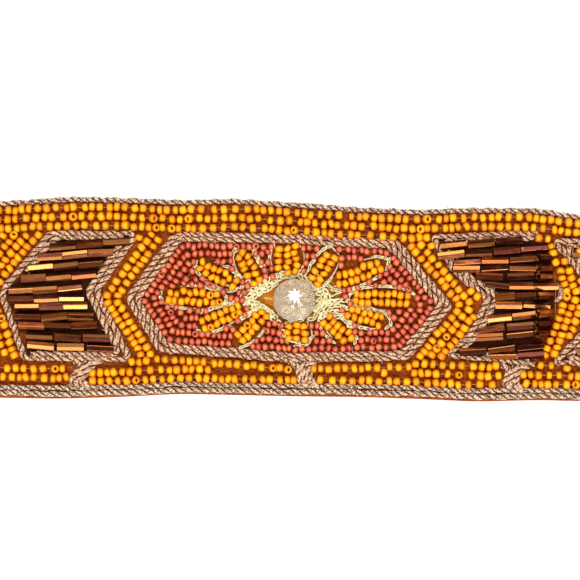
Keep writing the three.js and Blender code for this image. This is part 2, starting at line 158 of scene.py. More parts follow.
def edge_at(side, x):
    """The distance from the middle of the belt to its top or bottom edge."""
    return np.interp(x, belt_places, edge_heights[side])


def add_piece(name, shape, materials, nodes, smooth=True):
    """Makes a piece from a bmesh in millimetres and ties it to the belt."""
    bmesh.ops.scale(shape, vec=(0.001, 0.001, 0.001), verts=shape.verts)
    mesh = bpy.data.meshes.new(name)
    shape.to_mesh(mesh)
    shape.free()
    return link_piece(name, mesh, materials, nodes, smooth)


def link_piece(name, mesh, materials, nodes, smooth=True):
    mesh.polygons.foreach_set("use_smooth", [smooth] * len(mesh.polygons))
    mesh.materials.clear()
    for material in materials:
        mesh.materials.append(material)
    piece = bpy.data.objects.new(name, mesh)
    bpy.context.scene.collection.objects.link(piece)
    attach(piece, "root")
    if nodes:
        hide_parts(*nodes)
    return piece


def finished_mesh(helper):
    """The mesh that a helper object gives with its modifiers applied; the helper is removed."""
    mesh = bpy.data.meshes.new_from_object(helper.evaluated_get(bpy.context.evaluated_depsgraph_get()))
    bpy.data.objects.remove(helper)
    return mesh


def cut_away(piece, shape, name):
    """Cuts the form of a bmesh, which is in metres, out of a piece."""
    mesh = bpy.data.meshes.new(name)
    shape.to_mesh(mesh)
    shape.free()
    cutter = bpy.data.objects.new(name, mesh)
    bpy.context.scene.collection.objects.link(cutter)
    cut = piece.modifiers.new(name, "BOOLEAN")
    cut.operation, cut.solver, cut.object = "DIFFERENCE", "EXACT", cutter
    evaluated = piece.evaluated_get(bpy.context.evaluated_depsgraph_get())
    remainder = bpy.data.meshes.new_from_object(evaluated)
    piece.modifiers.clear()
    piece.data = remainder
    bpy.data.objects.remove(cutter)


def new_finish(name, roughness, metallic=0.0):
    """A material with its nodes, links and shader."""
    finish = bpy.data.materials.new(name)
    finish.use_nodes = True
    shader = finish.node_tree.nodes["Principled BSDF"]
    shader.inputs["Roughness"].default_value = roughness
    shader.inputs["Metallic"].default_value = metallic
    return finish, finish.node_tree.nodes, finish.node_tree.links, shader


def new_effect(name, inputs, outputs):
    """An empty node group with the named sockets, and its input and output nodes."""
    effect = bpy.data.node_groups.new(name, "ShaderNodeTree")
    for socket, kind in inputs.items():
        effect.interface.new_socket(socket, in_out="INPUT", socket_type=kind)
    for socket, kind in outputs.items():
        effect.interface.new_socket(socket, in_out="OUTPUT", socket_type=kind)
    start = effect.nodes.new("NodeGroupInput")
    end = effect.nodes.new("NodeGroupOutput")
    return effect, effect.nodes, effect.links, start, end


def placed_effect(nodes, effect, **values):
    node = nodes.new("ShaderNodeGroup")
    node.node_tree = effect
    for socket, value in values.items():
        node.inputs[socket.replace("_", " ")].default_value = value
    return node


def blended(nodes, links, share, low, high):
    """A colour between two others, each a socket or a plain colour."""
    mix = nodes.new("ShaderNodeMix")
    mix.data_type = "RGBA"
    for socket, value in ((mix.inputs[0], share), (mix.inputs[6], low), (mix.inputs[7], high)):
        if isinstance(value, bpy.types.NodeSocket):
            links.new(value, socket)
        else:
            socket.default_value = value
    return mix.outputs[2]


def ranged(nodes, links, value, from_low, from_high, to_low=0.0, to_high=1.0):
    scale = nodes.new("ShaderNodeMapRange")
    links.new(value, scale.inputs["Value"])
    for socket, number in zip(("From Min", "From Max", "To Min", "To Max"),
                              (from_low, from_high, to_low, to_high)):
        scale.inputs[socket].default_value = number
    return scale.outputs["Result"]


def own_place(nodes):
    """Where a point lies on the belt, in metres from its middle."""
    return nodes.new("ShaderNodeTexCoord").outputs["Object"]


def speckle(nodes, links, place, scale, detail=2.0):
    noise = nodes.new("ShaderNodeTexNoise")
    links.new(place, noise.inputs["Vector"])
    noise.inputs["Scale"].default_value = scale
    noise.inputs["Detail"].default_value = detail
    return noise.outputs["Fac"]


def carried(nodes, name):
    """A value that the mesh carries with its points or faces."""
    attribute = nodes.new("ShaderNodeAttribute")
    attribute.attribute_name = name
    return attribute.outputs["Fac"]


def raised(nodes, links, height, strength, distance, shader):
    bump = nodes.new("ShaderNodeBump")
    bump.inputs["Strength"].default_value = strength
    bump.inputs["Distance"].default_value = distance
    links.new(height, bump.inputs["Height"])
    links.new(bump.outputs["Normal"], shader.inputs["Normal"])


suede_nap, nodes, links, start, end = new_effect(
    "suede_nap",
    {"Deep": "NodeSocketColor", "Middle": "NodeSocketColor", "Raised": "NodeSocketColor"},
    {"Colour": "NodeSocketColor", "Height": "NodeSocketFloat"},
)
place = own_place(nodes)
coarse, fine = speckle(nodes, links, place, 380), speckle(nodes, links, place, 2400, 4)
worn = blended(nodes, links, ranged(nodes, links, coarse, 0.35, 0.65), start.outputs["Deep"],
               start.outputs["Middle"])
links.new(blended(nodes, links, ranged(nodes, links, fine, 0.42, 0.68), worn, start.outputs["Raised"]),
          end.inputs["Colour"])
links.new(fine, end.inputs["Height"])

suede, nodes, links, shader = new_finish("burnt_orange_suede", 0.95)
# Painted shade: the nap is painted darker than the suede's own colour, for the shade among the beads and
# cords. Only an open patch round the stone keeps the brighter, unshaded nap.
nap = placed_effect(nodes, suede_nap, Deep=(0.16, 0.022, 0.002, 1), Middle=(0.36, 0.062, 0.004, 1),
                    Raised=(0.62, 0.16, 0.013, 1))
clean_nap = placed_effect(nodes, suede_nap, Deep=(0.42, 0.1, 0.006, 1), Middle=(0.66, 0.2, 0.01, 1),
                          Raised=(0.9, 0.36, 0.03, 1))
by_the_stone = nodes.new("ShaderNodeMapping")
links.new(own_place(nodes), by_the_stone.inputs["Vector"])
by_the_stone.inputs["Scale"].default_value = (60, 130, 60)
clean_patch = nodes.new("ShaderNodeTexGradient")
clean_patch.gradient_type = "SPHERICAL"
links.new(by_the_stone.outputs["Vector"], clean_patch.inputs["Vector"])
ground = blended(nodes, links, ranged(nodes, links, clean_patch.outputs["Fac"], 0.05, 0.3),
                 nap.outputs["Colour"], clean_nap.outputs["Colour"])
# Painted shade: the suede under the bugle panels is painted nearly black, for the shade in the narrow gaps
# between the rows.
links.new(blended(nodes, links, carried(nodes, "under_bugles"), ground, (0.06, 0.013, 0.003, 1)),
          shader.inputs["Base Color"])
shader.inputs["Specular IOR Level"].default_value = 0.2
raised(nodes, links, nap.outputs["Height"], 0.8, 0.0004, shader)

lining, nodes, links, shader = new_finish("cotton_lining", 0.9)
nap = placed_effect(nodes, suede_nap, Deep=(0.16, 0.07, 0.03, 1), Middle=(0.24, 0.11, 0.05, 1),
                    Raised=(0.34, 0.17, 0.09, 1))
links.new(nap.outputs["Colour"], shader.inputs["Base Color"])
weave = nodes.new("ShaderNodeTexChecker")
weave.inputs["Scale"].default_value = 1600
links.new(own_place(nodes), weave.inputs["Vector"])
raised(nodes, links, weave.outputs["Fac"], 0.4, 0.0002, shader)

band = bmesh.new()
bmesh.ops.create_grid(band, x_segments=BAND_STEPS[0], y_segments=BAND_STEPS[1], size=1)
for vert in band.verts:
    x, share = vert.co.x * HALF_LENGTH, (vert.co.y + 1) / 2
    past = max(0, abs(x) - HALF_LENGTH + END_CORNER) / END_CORNER
    corner = END_CORNER * (1 - math.sqrt(max(0, 1 - past * past)))
    hem = HEM_BULGE * (0.6 + 0.4 * math.sin(x / 17)) * min(1, (HALF_LENGTH - abs(x)) / 20)
    low, high = corner - edge_at("bottom", x) - hem, edge_at("top", x) - TOP_TUCK - corner
    vert.co = (x, low + (high - low) * share, 0)
for face in bmesh.ops.extrude_face_region(band, geom=band.faces[:])["geom"]:
    if isinstance(face, bmesh.types.BMVert):
        face.co.z = BAND_THICKNESS
bmesh.ops.recalc_face_normals(band, faces=band.faces)
rims = [edge for edge in band.edges
        if abs(edge.verts[0].co.z - edge.verts[1].co.z) < 0.01 and edge.calc_face_angle(0) > 1]
bmesh.ops.bevel(band, geom=rims, offset=RIM, segments=2, affect="EDGES", profile=0.5, material=-1)
for vert in band.verts:
    if vert.co.z > BAND_THICKNESS - 0.01:
        x, y = vert.co.x, vert.co.y
        vert.co.z += 0.07 * math.sin(x / 5.3 + y / 3.1) + 0.05 * math.sin(x / 2.7 - y / 1.9)
for face in band.faces:
    face.material_index = int(face.normal.z < -0.7)
suede_band = add_piece("suede_band", band, [suede, lining], ["ground_band"])
for way, width in ((1, HOOK_POCKET), (-1, EYE_POCKET)):
    cutter_shape = bmesh.new()
    bmesh.ops.create_cube(cutter_shape, size=2)
    bmesh.ops.scale(cutter_shape, verts=cutter_shape.verts,
                    vec=(PLATE_REACH / 1000, width / 2000, PLATE_DEPTH / 1000))
    bmesh.ops.translate(cutter_shape, verts=cutter_shape.verts, vec=(way * HALF_LENGTH / 1000, 0, 0))
    cut_away(suede_band, cutter_shape, "pocket_cutter")

# The edging: taupe yarn of two soft strands twisted together, couched down with stitches that don't
# show. One row overhangs the top edge, and two run along the bottom edge with a strip of hem below.
STRAND_SIDES = 6
STRAND_OFFSET = 0.32
STRAND_SHAPE = (0.37, 0.56)
CORD_RADIUS = 0.69
LAY = 4.1
STEPS_PER_LAY = 10
LAY_DRIFT = 0.38
SLANTED_SPREAD = 0.3
CORD_LEVEL = 2.62
LINE_STEP = 0.4
EDGE_CORD_INSETS = {"top": [0.7], "bottom": [1.1, 2.65]}
EDGE_CORD_END = 377
all_cord_lines = []


def run_along(line):
    """The distance from the start of a line to each of its points."""
    return np.concatenate([[0], np.cumsum(np.linalg.norm(np.diff(line, axis=0), axis=1))])


def even_line(line):
    """The same line with its points in even steps."""
    line = np.array(line, float)
    run = run_along(line)
    places = np.linspace(0, run[-1], max(2, round(run[-1] / LINE_STEP) + 1))
    return np.stack([np.interp(places, run, line[:, i]) for i in range(line.shape[1])], axis=1)


def tangents(line):
    """The unit direction of a line at each of its points."""
    steps = np.gradient(line, axis=0)
    return steps / np.linalg.norm(steps, axis=1)[:, None]


def rounded(corners, radius):
    """An open line through corners, each eased by a small bend, in even steps."""
    corners = [np.array(corner, float) for corner in corners]
    line = [corners[0]]
    for before, corner, after in zip(corners, corners[1:], corners[2:]):
        ease_in = corner + (before - corner) * min(0.45, radius / np.linalg.norm(before - corner))
        ease_out = corner + (after - corner) * min(0.45, radius / np.linalg.norm(after - corner))
        for t in np.linspace(0, 1, 7):
            line.append((1 - t) ** 2 * ease_in + 2 * t * (1 - t) * corner + t * t * ease_out)
    return even_line(line + [corners[-1]])


def swayed(line, amount, seed):
    """A line that wanders a little to either side, as hand-laid yarn does."""
    draw = random.Random(seed)
    run = run_along(line)
    tangent = tangents(line)
    sway = sum(np.sin(run / draw.uniform(1.6, 5) + draw.uniform(0, 6.28)) for _ in range(3)) * amount / 3
    return line + np.stack([-tangent[:, 1] * sway, tangent[:, 0] * sway], axis=1)


one_lay = bmesh.new()
for side in (-1, 1):
    bmesh.ops.create_circle(one_lay, segments=STRAND_SIDES, radius=1,
                            matrix=Matrix.Translation((0, side * STRAND_OFFSET, 0))
                            @ Matrix.Diagonal((1, *STRAND_SHAPE, 1)) @ Matrix.Rotation(math.pi / 2, 4, "Y"))
bmesh.ops.spin(one_lay, geom=one_lay.verts[:] + one_lay.edges[:], cent=(0, 0, 0), axis=(1, 0, 0),
               dvec=(LAY / STEPS_PER_LAY, 0, 0), angle=2 * math.pi, steps=STEPS_PER_LAY)
lay_mesh = bpy.data.meshes.new("one_lay")
one_lay.to_mesh(lay_mesh)
one_lay.free()


def twist_cord(cords, line, level=CORD_LEVEL):
    """Repeats one lay of the twist over the length of a line, bends it along and adds it to a list.

    The twist drifts, swells and wobbles by small sine waves that differ from cord to cord."""
    line = np.array(line)
    run = run_along(line)
    lays = max(1, round(run[-1] / LAY))
    helper = bpy.data.objects.new("cord_stretch", lay_mesh)
    bpy.context.scene.collection.objects.link(helper)
    repeat = helper.modifiers.new("repeat", "ARRAY")
    repeat.count, repeat.use_relative_offset, repeat.use_constant_offset = lays, False, True
    repeat.constant_offset_displace = (LAY, 0, 0)
    repeat.use_merge_vertices, repeat.merge_threshold = True, 0.02
    cord = finished_mesh(helper)
    straight = np.empty(len(cord.vertices) * 3)
    cord.vertices.foreach_get("co", straight)
    straight = straight.reshape(-1, 3)
    draw = random.Random(round(run[-1] * 10))
    reach = straight[:, 0] / (lays * LAY)
    drift = sum(np.sin(straight[:, 0] / draw.uniform(1.5, 6) + draw.uniform(0, 6)) for _ in range(2))
    swell = 1 + sum(0.07 * np.sin(straight[:, 0] / draw.uniform(0.35, 1.1) + draw.uniform(0, 6))
                    for _ in range(3))
    place = reach * run[-1] + LAY_DRIFT * drift * np.minimum(1, 8 * np.minimum(reach, 1 - reach))
    tangent = tangents(line)
    centre_x, centre_y, along_x, along_y = (
        np.interp(place, run, column) for column in (line[:, 0], line[:, 1], tangent[:, 0], tangent[:, 1]))
    across = straight[:, 1] * swell * (1 + SLANTED_SPREAD * np.abs(along_y))
    across += 0.1 * np.sin(straight[:, 0] / 0.83 + run[-1])
    height = straight[:, 2] * swell + 0.09 * np.sin(straight[:, 0] / 0.61 + run[-1])
    bent = np.stack([centre_x - along_y * across, centre_y + along_x * across, level + height], axis=1)
    cord.vertices.foreach_set("co", bent.ravel())
    # How deep each point lies inside the cord; the yarn finish uses it to paint shade into the valleys
    # between the strands.
    depth = np.clip(1.5 * (1 - np.hypot(straight[:, 1], straight[:, 2]) / CORD_RADIUS), 0, 1)
    cords.append((cord, depth))
    all_cord_lines.append(line[:, :2])


def add_cords(name, cords, materials, nodes):
    """Makes twisted cords one piece, closed at the ends of their strands, with painted shade darkening the
    valleys between their strands.
    """
    joined = bmesh.new()
    for cord, _ in cords:
        joined.from_mesh(cord)
        bpy.data.meshes.remove(cord)
    bmesh.ops.holes_fill(joined, edges=[edge for edge in joined.edges if edge.is_boundary])
    bmesh.ops.recalc_face_normals(joined, faces=joined.faces)
    piece = add_piece(name, joined, materials, nodes)
    valley = piece.data.attributes.new("valley", "FLOAT", "POINT")
    valley.data.foreach_set("value", np.concatenate([depth for _, depth in cords]))


def edge_line(side, inset):
    """A line along the top or bottom edge, a little inside it."""
    places = np.arange(-EDGE_CORD_END, EDGE_CORD_END + 0.1, 1.0)
    up = 1 if side == "top" else -1
    return even_line(np.stack([places, up * (edge_at(side, places) - inset)], axis=1))


spun_yarn, nodes, links, start, end = new_effect(
    "spun_yarn",
    {"Gap": "NodeSocketColor", "Body": "NodeSocketColor", "Crest": "NodeSocketColor",
     "Grain": "NodeSocketFloat"},
    {"Colour": "NodeSocketColor", "Height": "NodeSocketFloat"},
)
place = own_place(nodes)
fibres = nodes.new("ShaderNodeTexNoise")
links.new(place, fibres.inputs["Vector"])
links.new(start.outputs["Grain"], fibres.inputs["Scale"])
fibres.inputs["Detail"].default_value = 3
lit = blended(nodes, links, ranged(nodes, links, fibres.outputs["Fac"], 0.42, 0.58),
              start.outputs["Body"], start.outputs["Crest"])
# Painted shade: the deeper a point lies in a valley between the strands, the nearer it is painted to the
# dark shade colour.
links.new(blended(nodes, links, ranged(nodes, links, carried(nodes, "valley"), 0.12, 0.44), lit,
                  start.outputs["Gap"]), end.inputs["Colour"])
links.new(fibres.outputs["Fac"], end.inputs["Height"])

# Its first colour is the painted shade in the valleys between the strands.
edge_yarn, nodes, links, shader = new_finish("taupe_edge_yarn", 0.8)
spin = placed_effect(nodes, spun_yarn, Gap=(0.05, 0.018, 0.007, 1), Body=(0.27, 0.13, 0.065, 1),
                     Crest=(0.97, 0.75, 0.53, 1), Grain=1900)
links.new(spin.outputs["Colour"], shader.inputs["Base Color"])
raised(nodes, links, spin.outputs["Height"], 0.6, 0.0002, shader)

edging = []
for side, insets in EDGE_CORD_INSETS.items():
    for inset in insets:
        twist_cord(edging, swayed(edge_line(side, inset), 0.14, int(inset * 100)))
add_cords("edging_yarn", edging, [edge_yarn],
          ["top_edge_cord", "bottom_edge_cord_outer", "bottom_edge_cord_inner"])

# The panel outlines: the same yarn, laid twice round the hexagon in the middle and round each arrow.
# Only the pointed side of an arrow has a single row, and short ends cross to the bottom edge.
PANEL_PITCH = 32
PANEL_COUNT = 8
LEFT_START, RIGHT_START = 42.01, 36.0
SECOND_ROW = 1.3
SLANTED_SECOND_ROW = 1.95
CORNER_BEND = 1.6
BRIDGE_SPREAD = (-1.4, 0, 1.4)
BRIDGE_RISE = 0.35
# The side of an outline in whose middle its yarn starts and ends
HEXAGON_START, ARROW_START = 6, 3
HALF_MIDDLE = 42.35
HEXAGON = [(-1.034, -0.024), (-0.749, 0.655), (0, 0.655), (0.623, 0.618),
           (0.966, -0.028), (0.706, -0.583), (0, -0.626), (-0.824, -0.547)]
# Corners of an arrow: near top, far top, tip, far bottom, near bottom, lower notch, apex, upper notch
RIGHT_ARROW = [(0, 0.65), (0.75, 0.66), (1.08, 0.02), (0.84, -0.625), (0.02, -0.61), (0.26, -0.3),
               (0.44, 0.03), (0.25, 0.3)]
LEFT_ARROW = [(0.12, 0.65), *RIGHT_ARROW[1:4], (0.13, -0.61), *RIGHT_ARROW[5:]]
FIRST_LEFT_ARROW = [(0, 0.654), (0.706, 0.646), (1.1, 0.012), (0.897, -0.66), (0.03, -0.65),
                    (0.175, -0.3), (0.32, 0.04), (0.165, 0.33)]
FIRST_RIGHT_ARROW = [(0, 0.676), (0.88, 0.745), (1.07, 0.11), (0.8625, -0.622), (0.147, -0.543),
                     (0.34, -0.299), (0.478, 0.055), (0.225, 0.272)]


def arrow_outline(way, start, number):
    if number == 0:
        shape = FIRST_LEFT_ARROW if way < 0 else FIRST_RIGHT_ARROW
    else:
        shape = LEFT_ARROW if way < 0 else RIGHT_ARROW
    sway = 0.3 * math.sin(2.4 * number)
    return np.array([(way * (start + (number + x) * PANEL_PITCH), y * HALF_WIDTH + sway)
                     for x, y in shape])


def offset_outline(outline, distances):
    """An outline grown outwards by a distance for each of its sides."""
    following = np.roll(outline, -1, axis=0)
    along = following - outline
    along /= np.linalg.norm(along, axis=1)[:, None]
    turn = np.sign(np.sum(outline[:, 0] * following[:, 1] - following[:, 0] * outline[:, 1]))
    after = np.stack([along[:, 1], -along[:, 0]], axis=1) * turn
    before = np.roll(after, 1, axis=0)
    distances = np.broadcast_to(np.array(distances, float), len(outline))
    last = np.roll(distances, 1)
    cross = before[:, 0] * after[:, 1] - before[:, 1] * after[:, 0]
    shift = np.stack([last * after[:, 1] - distances * before[:, 1],
                      distances * before[:, 0] - last * after[:, 0]], axis=1)
    return outline + shift / cross[:, None]


def second_row(outline):
    """The outline of the inner row of yarn, which lies further off along the slanted sides."""
    along = np.roll(outline, -1, axis=0) - outline
    slant = np.abs(along[:, 1]) / np.linalg.norm(along, axis=1)
    return offset_outline(outline, -(SECOND_ROW + (SLANTED_SECOND_ROW - SECOND_ROW) * slant))


def ring_line(outline, start_side):
    """A closed line round an outline that starts and ends in the middle of one side."""
    order = [outline[(start_side + 1 + i) % len(outline)] for i in range(len(outline))]
    middle = (outline[start_side] + outline[(start_side + 1) % len(outline)]) / 2
    return rounded([middle, *order, middle], CORNER_BEND)


def bridge_lines(x, top, bottom, lean):
    """Three short ends of yarn side by side, from a panel's lower side down to the edging."""
    lines = []
    for i, shift in enumerate(BRIDGE_SPREAD):
        corners = [(x - lean + shift - 2.2 * (1 - i), top), (x - lean + shift, top - 0.8),
                   (x + shift, bottom + 1.2), (x + shift + 2.6, bottom)]
        lines.append(rounded(corners, 1.2))
    return lines


# Its first colour is the painted shade in the valleys between the strands.
yarn, nodes, links, shader = new_finish("taupe_yarn", 0.75)
spin = placed_effect(nodes, spun_yarn, Gap=(0.07, 0.018, 0.006, 1), Body=(0.38, 0.15, 0.06, 1),
                     Crest=(1, 0.68, 0.45, 1), Grain=1900)
links.new(spin.outputs["Colour"], shader.inputs["Base Color"])
raised(nodes, links, spin.outputs["Height"], 0.6, 0.0002, shader)

arrows = [("left", -1, LEFT_START, i) for i in range(PANEL_COUNT)]
arrows += [("right", 1, RIGHT_START, i) for i in range(PANEL_COUNT)]
outlines = {f"{side}_{i + 1}": arrow_outline(way, start, i) for side, way, start, i in arrows}
side_names = {side: [name for name in outlines if name.startswith(side)] for side in ("left", "right")}
# The second row of the first left arrow turns the corner and ends a little way down the far side
LEFT_DOUBLE_END = np.array([-70.6, 6.0])
# On the far side of the first right arrow only a stub of yarn lies at the tip
RIGHT_TIP_STUB = [(68.8, 5.4), (70.2, 4.2), (70.3, 2.0), (69.3, 0.2)]
# Place and lean of the short ends below two arrows; place, top, bottom and lean of those below the hexagon
HEXAGON_BRIDGE = (3.2, -16.3, -22.4, 0.8)
BRIDGES = {"left_1": (-57.2, -3.2), "right_1": (57.0, -1.4)}
for side, names in side_names.items():
    arrow_cords = []
    for number, name in enumerate(names):
        outline = outlines[name]
        inner = second_row(outline)
        outer_line = ring_line(outline, ARROW_START)
        if name == "right_1":
            outer_line = rounded(np.roll(outline, -ARROW_START, axis=0)[:-1], CORNER_BEND)
            twist_cord(arrow_cords, rounded(RIGHT_TIP_STUB, CORNER_BEND))
        twist_cord(arrow_cords, swayed(outer_line, 0.12, number))
        inner_corners = list(np.roll(inner, -ARROW_START, axis=0)[:-1])
        if name == "left_1":
            inner_corners.append(LEFT_DOUBLE_END)
        twist_cord(arrow_cords, swayed(rounded(inner_corners, CORNER_BEND), 0.12, number + 40))
        bridge_x, lean = BRIDGES.get(name, ((outline[3][0] + outline[4][0]) / 2, 1.5))
        edge_y = -float(edge_at("bottom", bridge_x)) + 3.2
        for line in bridge_lines(bridge_x, outline[3][1] - 0.4, edge_y, lean):
            twist_cord(arrow_cords, line, CORD_LEVEL + BRIDGE_RISE)
    add_cords(f"arrow_yarn_{side}", arrow_cords, [yarn], [f"panel_cord_{name}" for name in names])

hexagon_outline = np.array(HEXAGON) * (HALF_MIDDLE, HALF_WIDTH)
hexagon_cords = []
for number, outline in enumerate((hexagon_outline, second_row(hexagon_outline))):
    twist_cord(hexagon_cords, swayed(ring_line(outline, HEXAGON_START), 0.14, number + 90))
for line in bridge_lines(*HEXAGON_BRIDGE):
    twist_cord(hexagon_cords, line, CORD_LEVEL + BRIDGE_RISE)
add_cords("hexagon_yarn", hexagon_cords, [yarn], ["hexagon_cord"])

# The amber strings: round seed beads of opaque glass on peach thread, two or three strings along either
# edge and slanted ones in the gaps between the panels. They sit unevenly, and a few show their holes.
SEED_PROFILE = [(-0.4, 0.38), (-0.5, 0.66), (-0.34, 0.91), (0, 1.02), (0.34, 0.91), (0.5, 0.66),
                (0.4, 0.38)]
SEED_SIDES = 8
SEED_WIDTHS = (1.5, 2.05)
SEED_DIAMETERS = (2.25, 2.6)
# Inset of each row from the edge, and the stretch of the belt that it runs along
BORDER_ROWS = {
    "top": [(2.65, -380, 380), (5.05, -380, 380), (7.5, -380, 380)],
    "bottom": [(5.4, -380, -59), (7.7, -380, -59), (4.2, -58, 380), (6.6, -58, 380), (9.05, -58, 380)],
}
BORDER_GAPS = [(0.03, 0.3)] * 9 + [(0.35, 0.85)] * 8 + [(0.9, 1.5)] * 3
SLANTED_GAPS = [(0.04, 0.3)] * 3 + [(0.3, 0.7)]
SLANTED_ROWS = (2.6, 4.95, 7.3)
FIRST_SLANTED_ROWS = {"hexagon_left": (2.7, 5.0, 7.3), "hexagon_right": (2.3, 4.5, 6.7, 8.9),
                      "left_1": (2.2, 4.5, 6.8, 9.1), "right_1": (1.6, 3.8, 6.0, 8.2)}
END_SLANTED_ROWS = (2.6, 4.95)
BORDER_CLEARANCE = 1.2
SLANTED_CLEARANCE = 1.3
SLANTED_END_TOP, SLANTED_END_BOTTOM = 2.4, 4
UNDER_HEXAGON = 2.4
HOLE_SHARE = 0.028
HOLE_TILTS = (0.8, 1.3)
SEED_TILT = 0.16
SEARCH_STEP = 0.3
SEED_SPACING = 1.95
THREAD_SPAN = 3.3
THREAD_DEPTH = 0.25
CELL = 2.6

cord_points = np.concatenate(all_cord_lines)
cord_places = kdtree.KDTree(len(cord_points))
for index, point in enumerate(cord_points):
    cord_places.insert((point[0], point[1], 0), index)
cord_places.balance()
seeds_in_cell = {}
thread_lines = []


def has_room(x, y, clearance, spacing, string):
    """Whether a place is clear of every cord and of the beads of other strings."""
    if cord_places.find((x, y, 0))[2] < clearance:
        return False
    column, row = int(x // CELL), int(y // CELL)
    near = [seed for i in (-1, 0, 1) for j in (-1, 0, 1)
            for seed in seeds_in_cell.get((column + i, row + j), [])]
    return all(other == string or math.hypot(x - near_x, y - near_y) > spacing
               for near_x, near_y, other in near)


def turn_at(place, run, tangent):
    """The angle of a line at a distance along it."""
    return math.atan2(np.interp(place, run, tangent[:, 1]), np.interp(place, run, tangent[:, 0]))


def string_beads(line, draw, gaps, clearance, keep=None, spacing=SEED_SPACING,
                 widths=SEED_WIDTHS, diameters=SEED_DIAMETERS, sway=0.12, twist=0.2):
    """Beads strung along a line wherever cords and other strings leave room, and their thread."""
    run = run_along(line)
    tangent = np.gradient(line, axis=0)
    string, place, beads, thread = draw.random(), draw.uniform(0, 1), [], []
    while place < run[-1]:
        width, diameter = draw.uniform(*widths), draw.uniform(*diameters)
        turn = turn_at(place, run, tangent)
        aside = draw.gauss(0, sway)
        x = float(np.interp(place, run, line[:, 0])) - math.sin(turn) * aside
        y = float(np.interp(place, run, line[:, 1])) + math.cos(turn) * aside
        if not has_room(x, y, clearance, spacing, string) or (keep and not keep(x, y)):
            place += SEARCH_STEP
            continue
        seeds_in_cell.setdefault((int(x // CELL), int(y // CELL)), []).append((x, y, string))
        if draw.random() < HOLE_SHARE:
            tilt = draw.choice((-1, 1)) * draw.uniform(*HOLE_TILTS)
        else:
            tilt = draw.gauss(0, SEED_TILT)
        level = BAND_THICKNESS + diameter / 2 + draw.uniform(0, 0.15) + abs(math.sin(tilt)) * 0.15
        beads.append((
            Matrix.Translation((x, y, level)) @ Matrix.Rotation(turn + draw.gauss(0, twist), 4, "Z")
            @ Matrix.Rotation(tilt, 4, "Y") @ Matrix.Rotation(draw.uniform(0, 1), 4, "X")
            @ Matrix.Diagonal((width, diameter / 2, diameter / 2, 1)),
            draw.random()))
        if thread and math.dist(thread[-1][:2], (x, y)) > THREAD_SPAN:
            thread_lines.append(thread)
            thread = []
        thread.append((x, y, level - THREAD_DEPTH))
        place += width + draw.uniform(*draw.choice(gaps))
    thread_lines.append(thread)
    return beads


def turned_shape(profile, sides):
    """A closed ring of a profile turned about the X axis."""
    shape = bmesh.new()
    verts = [shape.verts.new((x, 0, radius)) for x, radius in profile]
    for vert, following in zip(verts, verts[1:] + verts[:1]):
        shape.edges.new((vert, following))
    bmesh.ops.spin(shape, geom=shape.verts[:] + shape.edges[:], cent=(0, 0, 0), axis=(1, 0, 0),
                   angle=2 * math.pi, steps=sides, use_merge=True)
    bmesh.ops.remove_doubles(shape, verts=shape.verts, dist=0.0001)
    bmesh.ops.recalc_face_normals(shape, faces=shape.faces)
    return shape


def add_many(name, shape, placings, materials, nodes, smooth=True):
    """One mesh of many copies of a small shape, each with its own place and tone."""
    shape.verts.index_update()
    corners = np.array([vert.co for vert in shape.verts])
    faces = [[vert.index for vert in face.verts] for face in shape.faces]
    matrices = np.array([matrix for matrix, _ in placings])
    places = np.einsum("nij,vj->nvi", matrices[:, :3, :3], corners) + matrices[:, None, :3, 3]
    mesh = bpy.data.meshes.new(name)
    mesh.from_pydata((places.reshape(-1, 3) / 1000).tolist(), [],
                     [[copy * len(corners) + corner for corner in face]
                      for copy in range(len(placings)) for face in faces])
    tones = mesh.attributes.new("tone", "FLOAT", "POINT")
    tones.data.foreach_set("value", np.repeat([tone for _, tone in placings], len(corners)))
    return link_piece(name, mesh, materials, nodes, smooth)


glass_seed, nodes, links, start, end = new_effect(
    "glass_seed",
    {"Foot": "NodeSocketColor", "Side": "NodeSocketColor", "Crown": "NodeSocketColor",
     "Heart": "NodeSocketColor"},
    {"Colour": "NodeSocketColor"},
)
# Painted light and shade: each bead is painted lighter where it faces up, with a painted highlight on top,
# darker on its sides, and darker again near the ground as painted shade. A per-bead tone also shifts its
# hue and brightness at random.
facing = nodes.new("ShaderNodeSeparateXYZ")
links.new(nodes.new("ShaderNodeNewGeometry").outputs["Normal"], facing.inputs[0])
height = nodes.new("ShaderNodeSeparateXYZ")
links.new(own_place(nodes), height.inputs[0])
tone = carried(nodes, "tone")
body = blended(nodes, links, ranged(nodes, links, facing.outputs["Z"], 0.35, 0.8),
               start.outputs["Side"], start.outputs["Crown"])
body = blended(nodes, links, ranged(nodes, links, facing.outputs["Z"], 0.8, 0.98), body,
               start.outputs["Heart"])
body = blended(nodes, links, ranged(nodes, links, height.outputs["Z"], 0.0024, 0.0034),
               start.outputs["Foot"], body)
shifted = nodes.new("ShaderNodeHueSaturation")
links.new(body, shifted.inputs["Color"])
links.new(ranged(nodes, links, tone, 0, 1, 0.493, 0.506), shifted.inputs["Hue"])
links.new(ranged(nodes, links, tone, 0, 1, 0.82, 1.1), shifted.inputs["Value"])
links.new(shifted.outputs["Color"], end.inputs["Colour"])

amber_glass, nodes, links, shader = new_finish("amber_glass", 0.33)
# Amber colours for the painted lit crown, highlight, shaded sides and shaded foot.
colour = placed_effect(nodes, glass_seed, Foot=(0.34, 0.03, 0.002, 1), Side=(0.76, 0.14, 0.002, 1),
                       Crown=(1, 0.39, 0.003, 1), Heart=(1, 0.56, 0.01, 1))
links.new(colour.outputs["Colour"], shader.inputs["Base Color"])
shader.inputs["Specular IOR Level"].default_value = 0.18

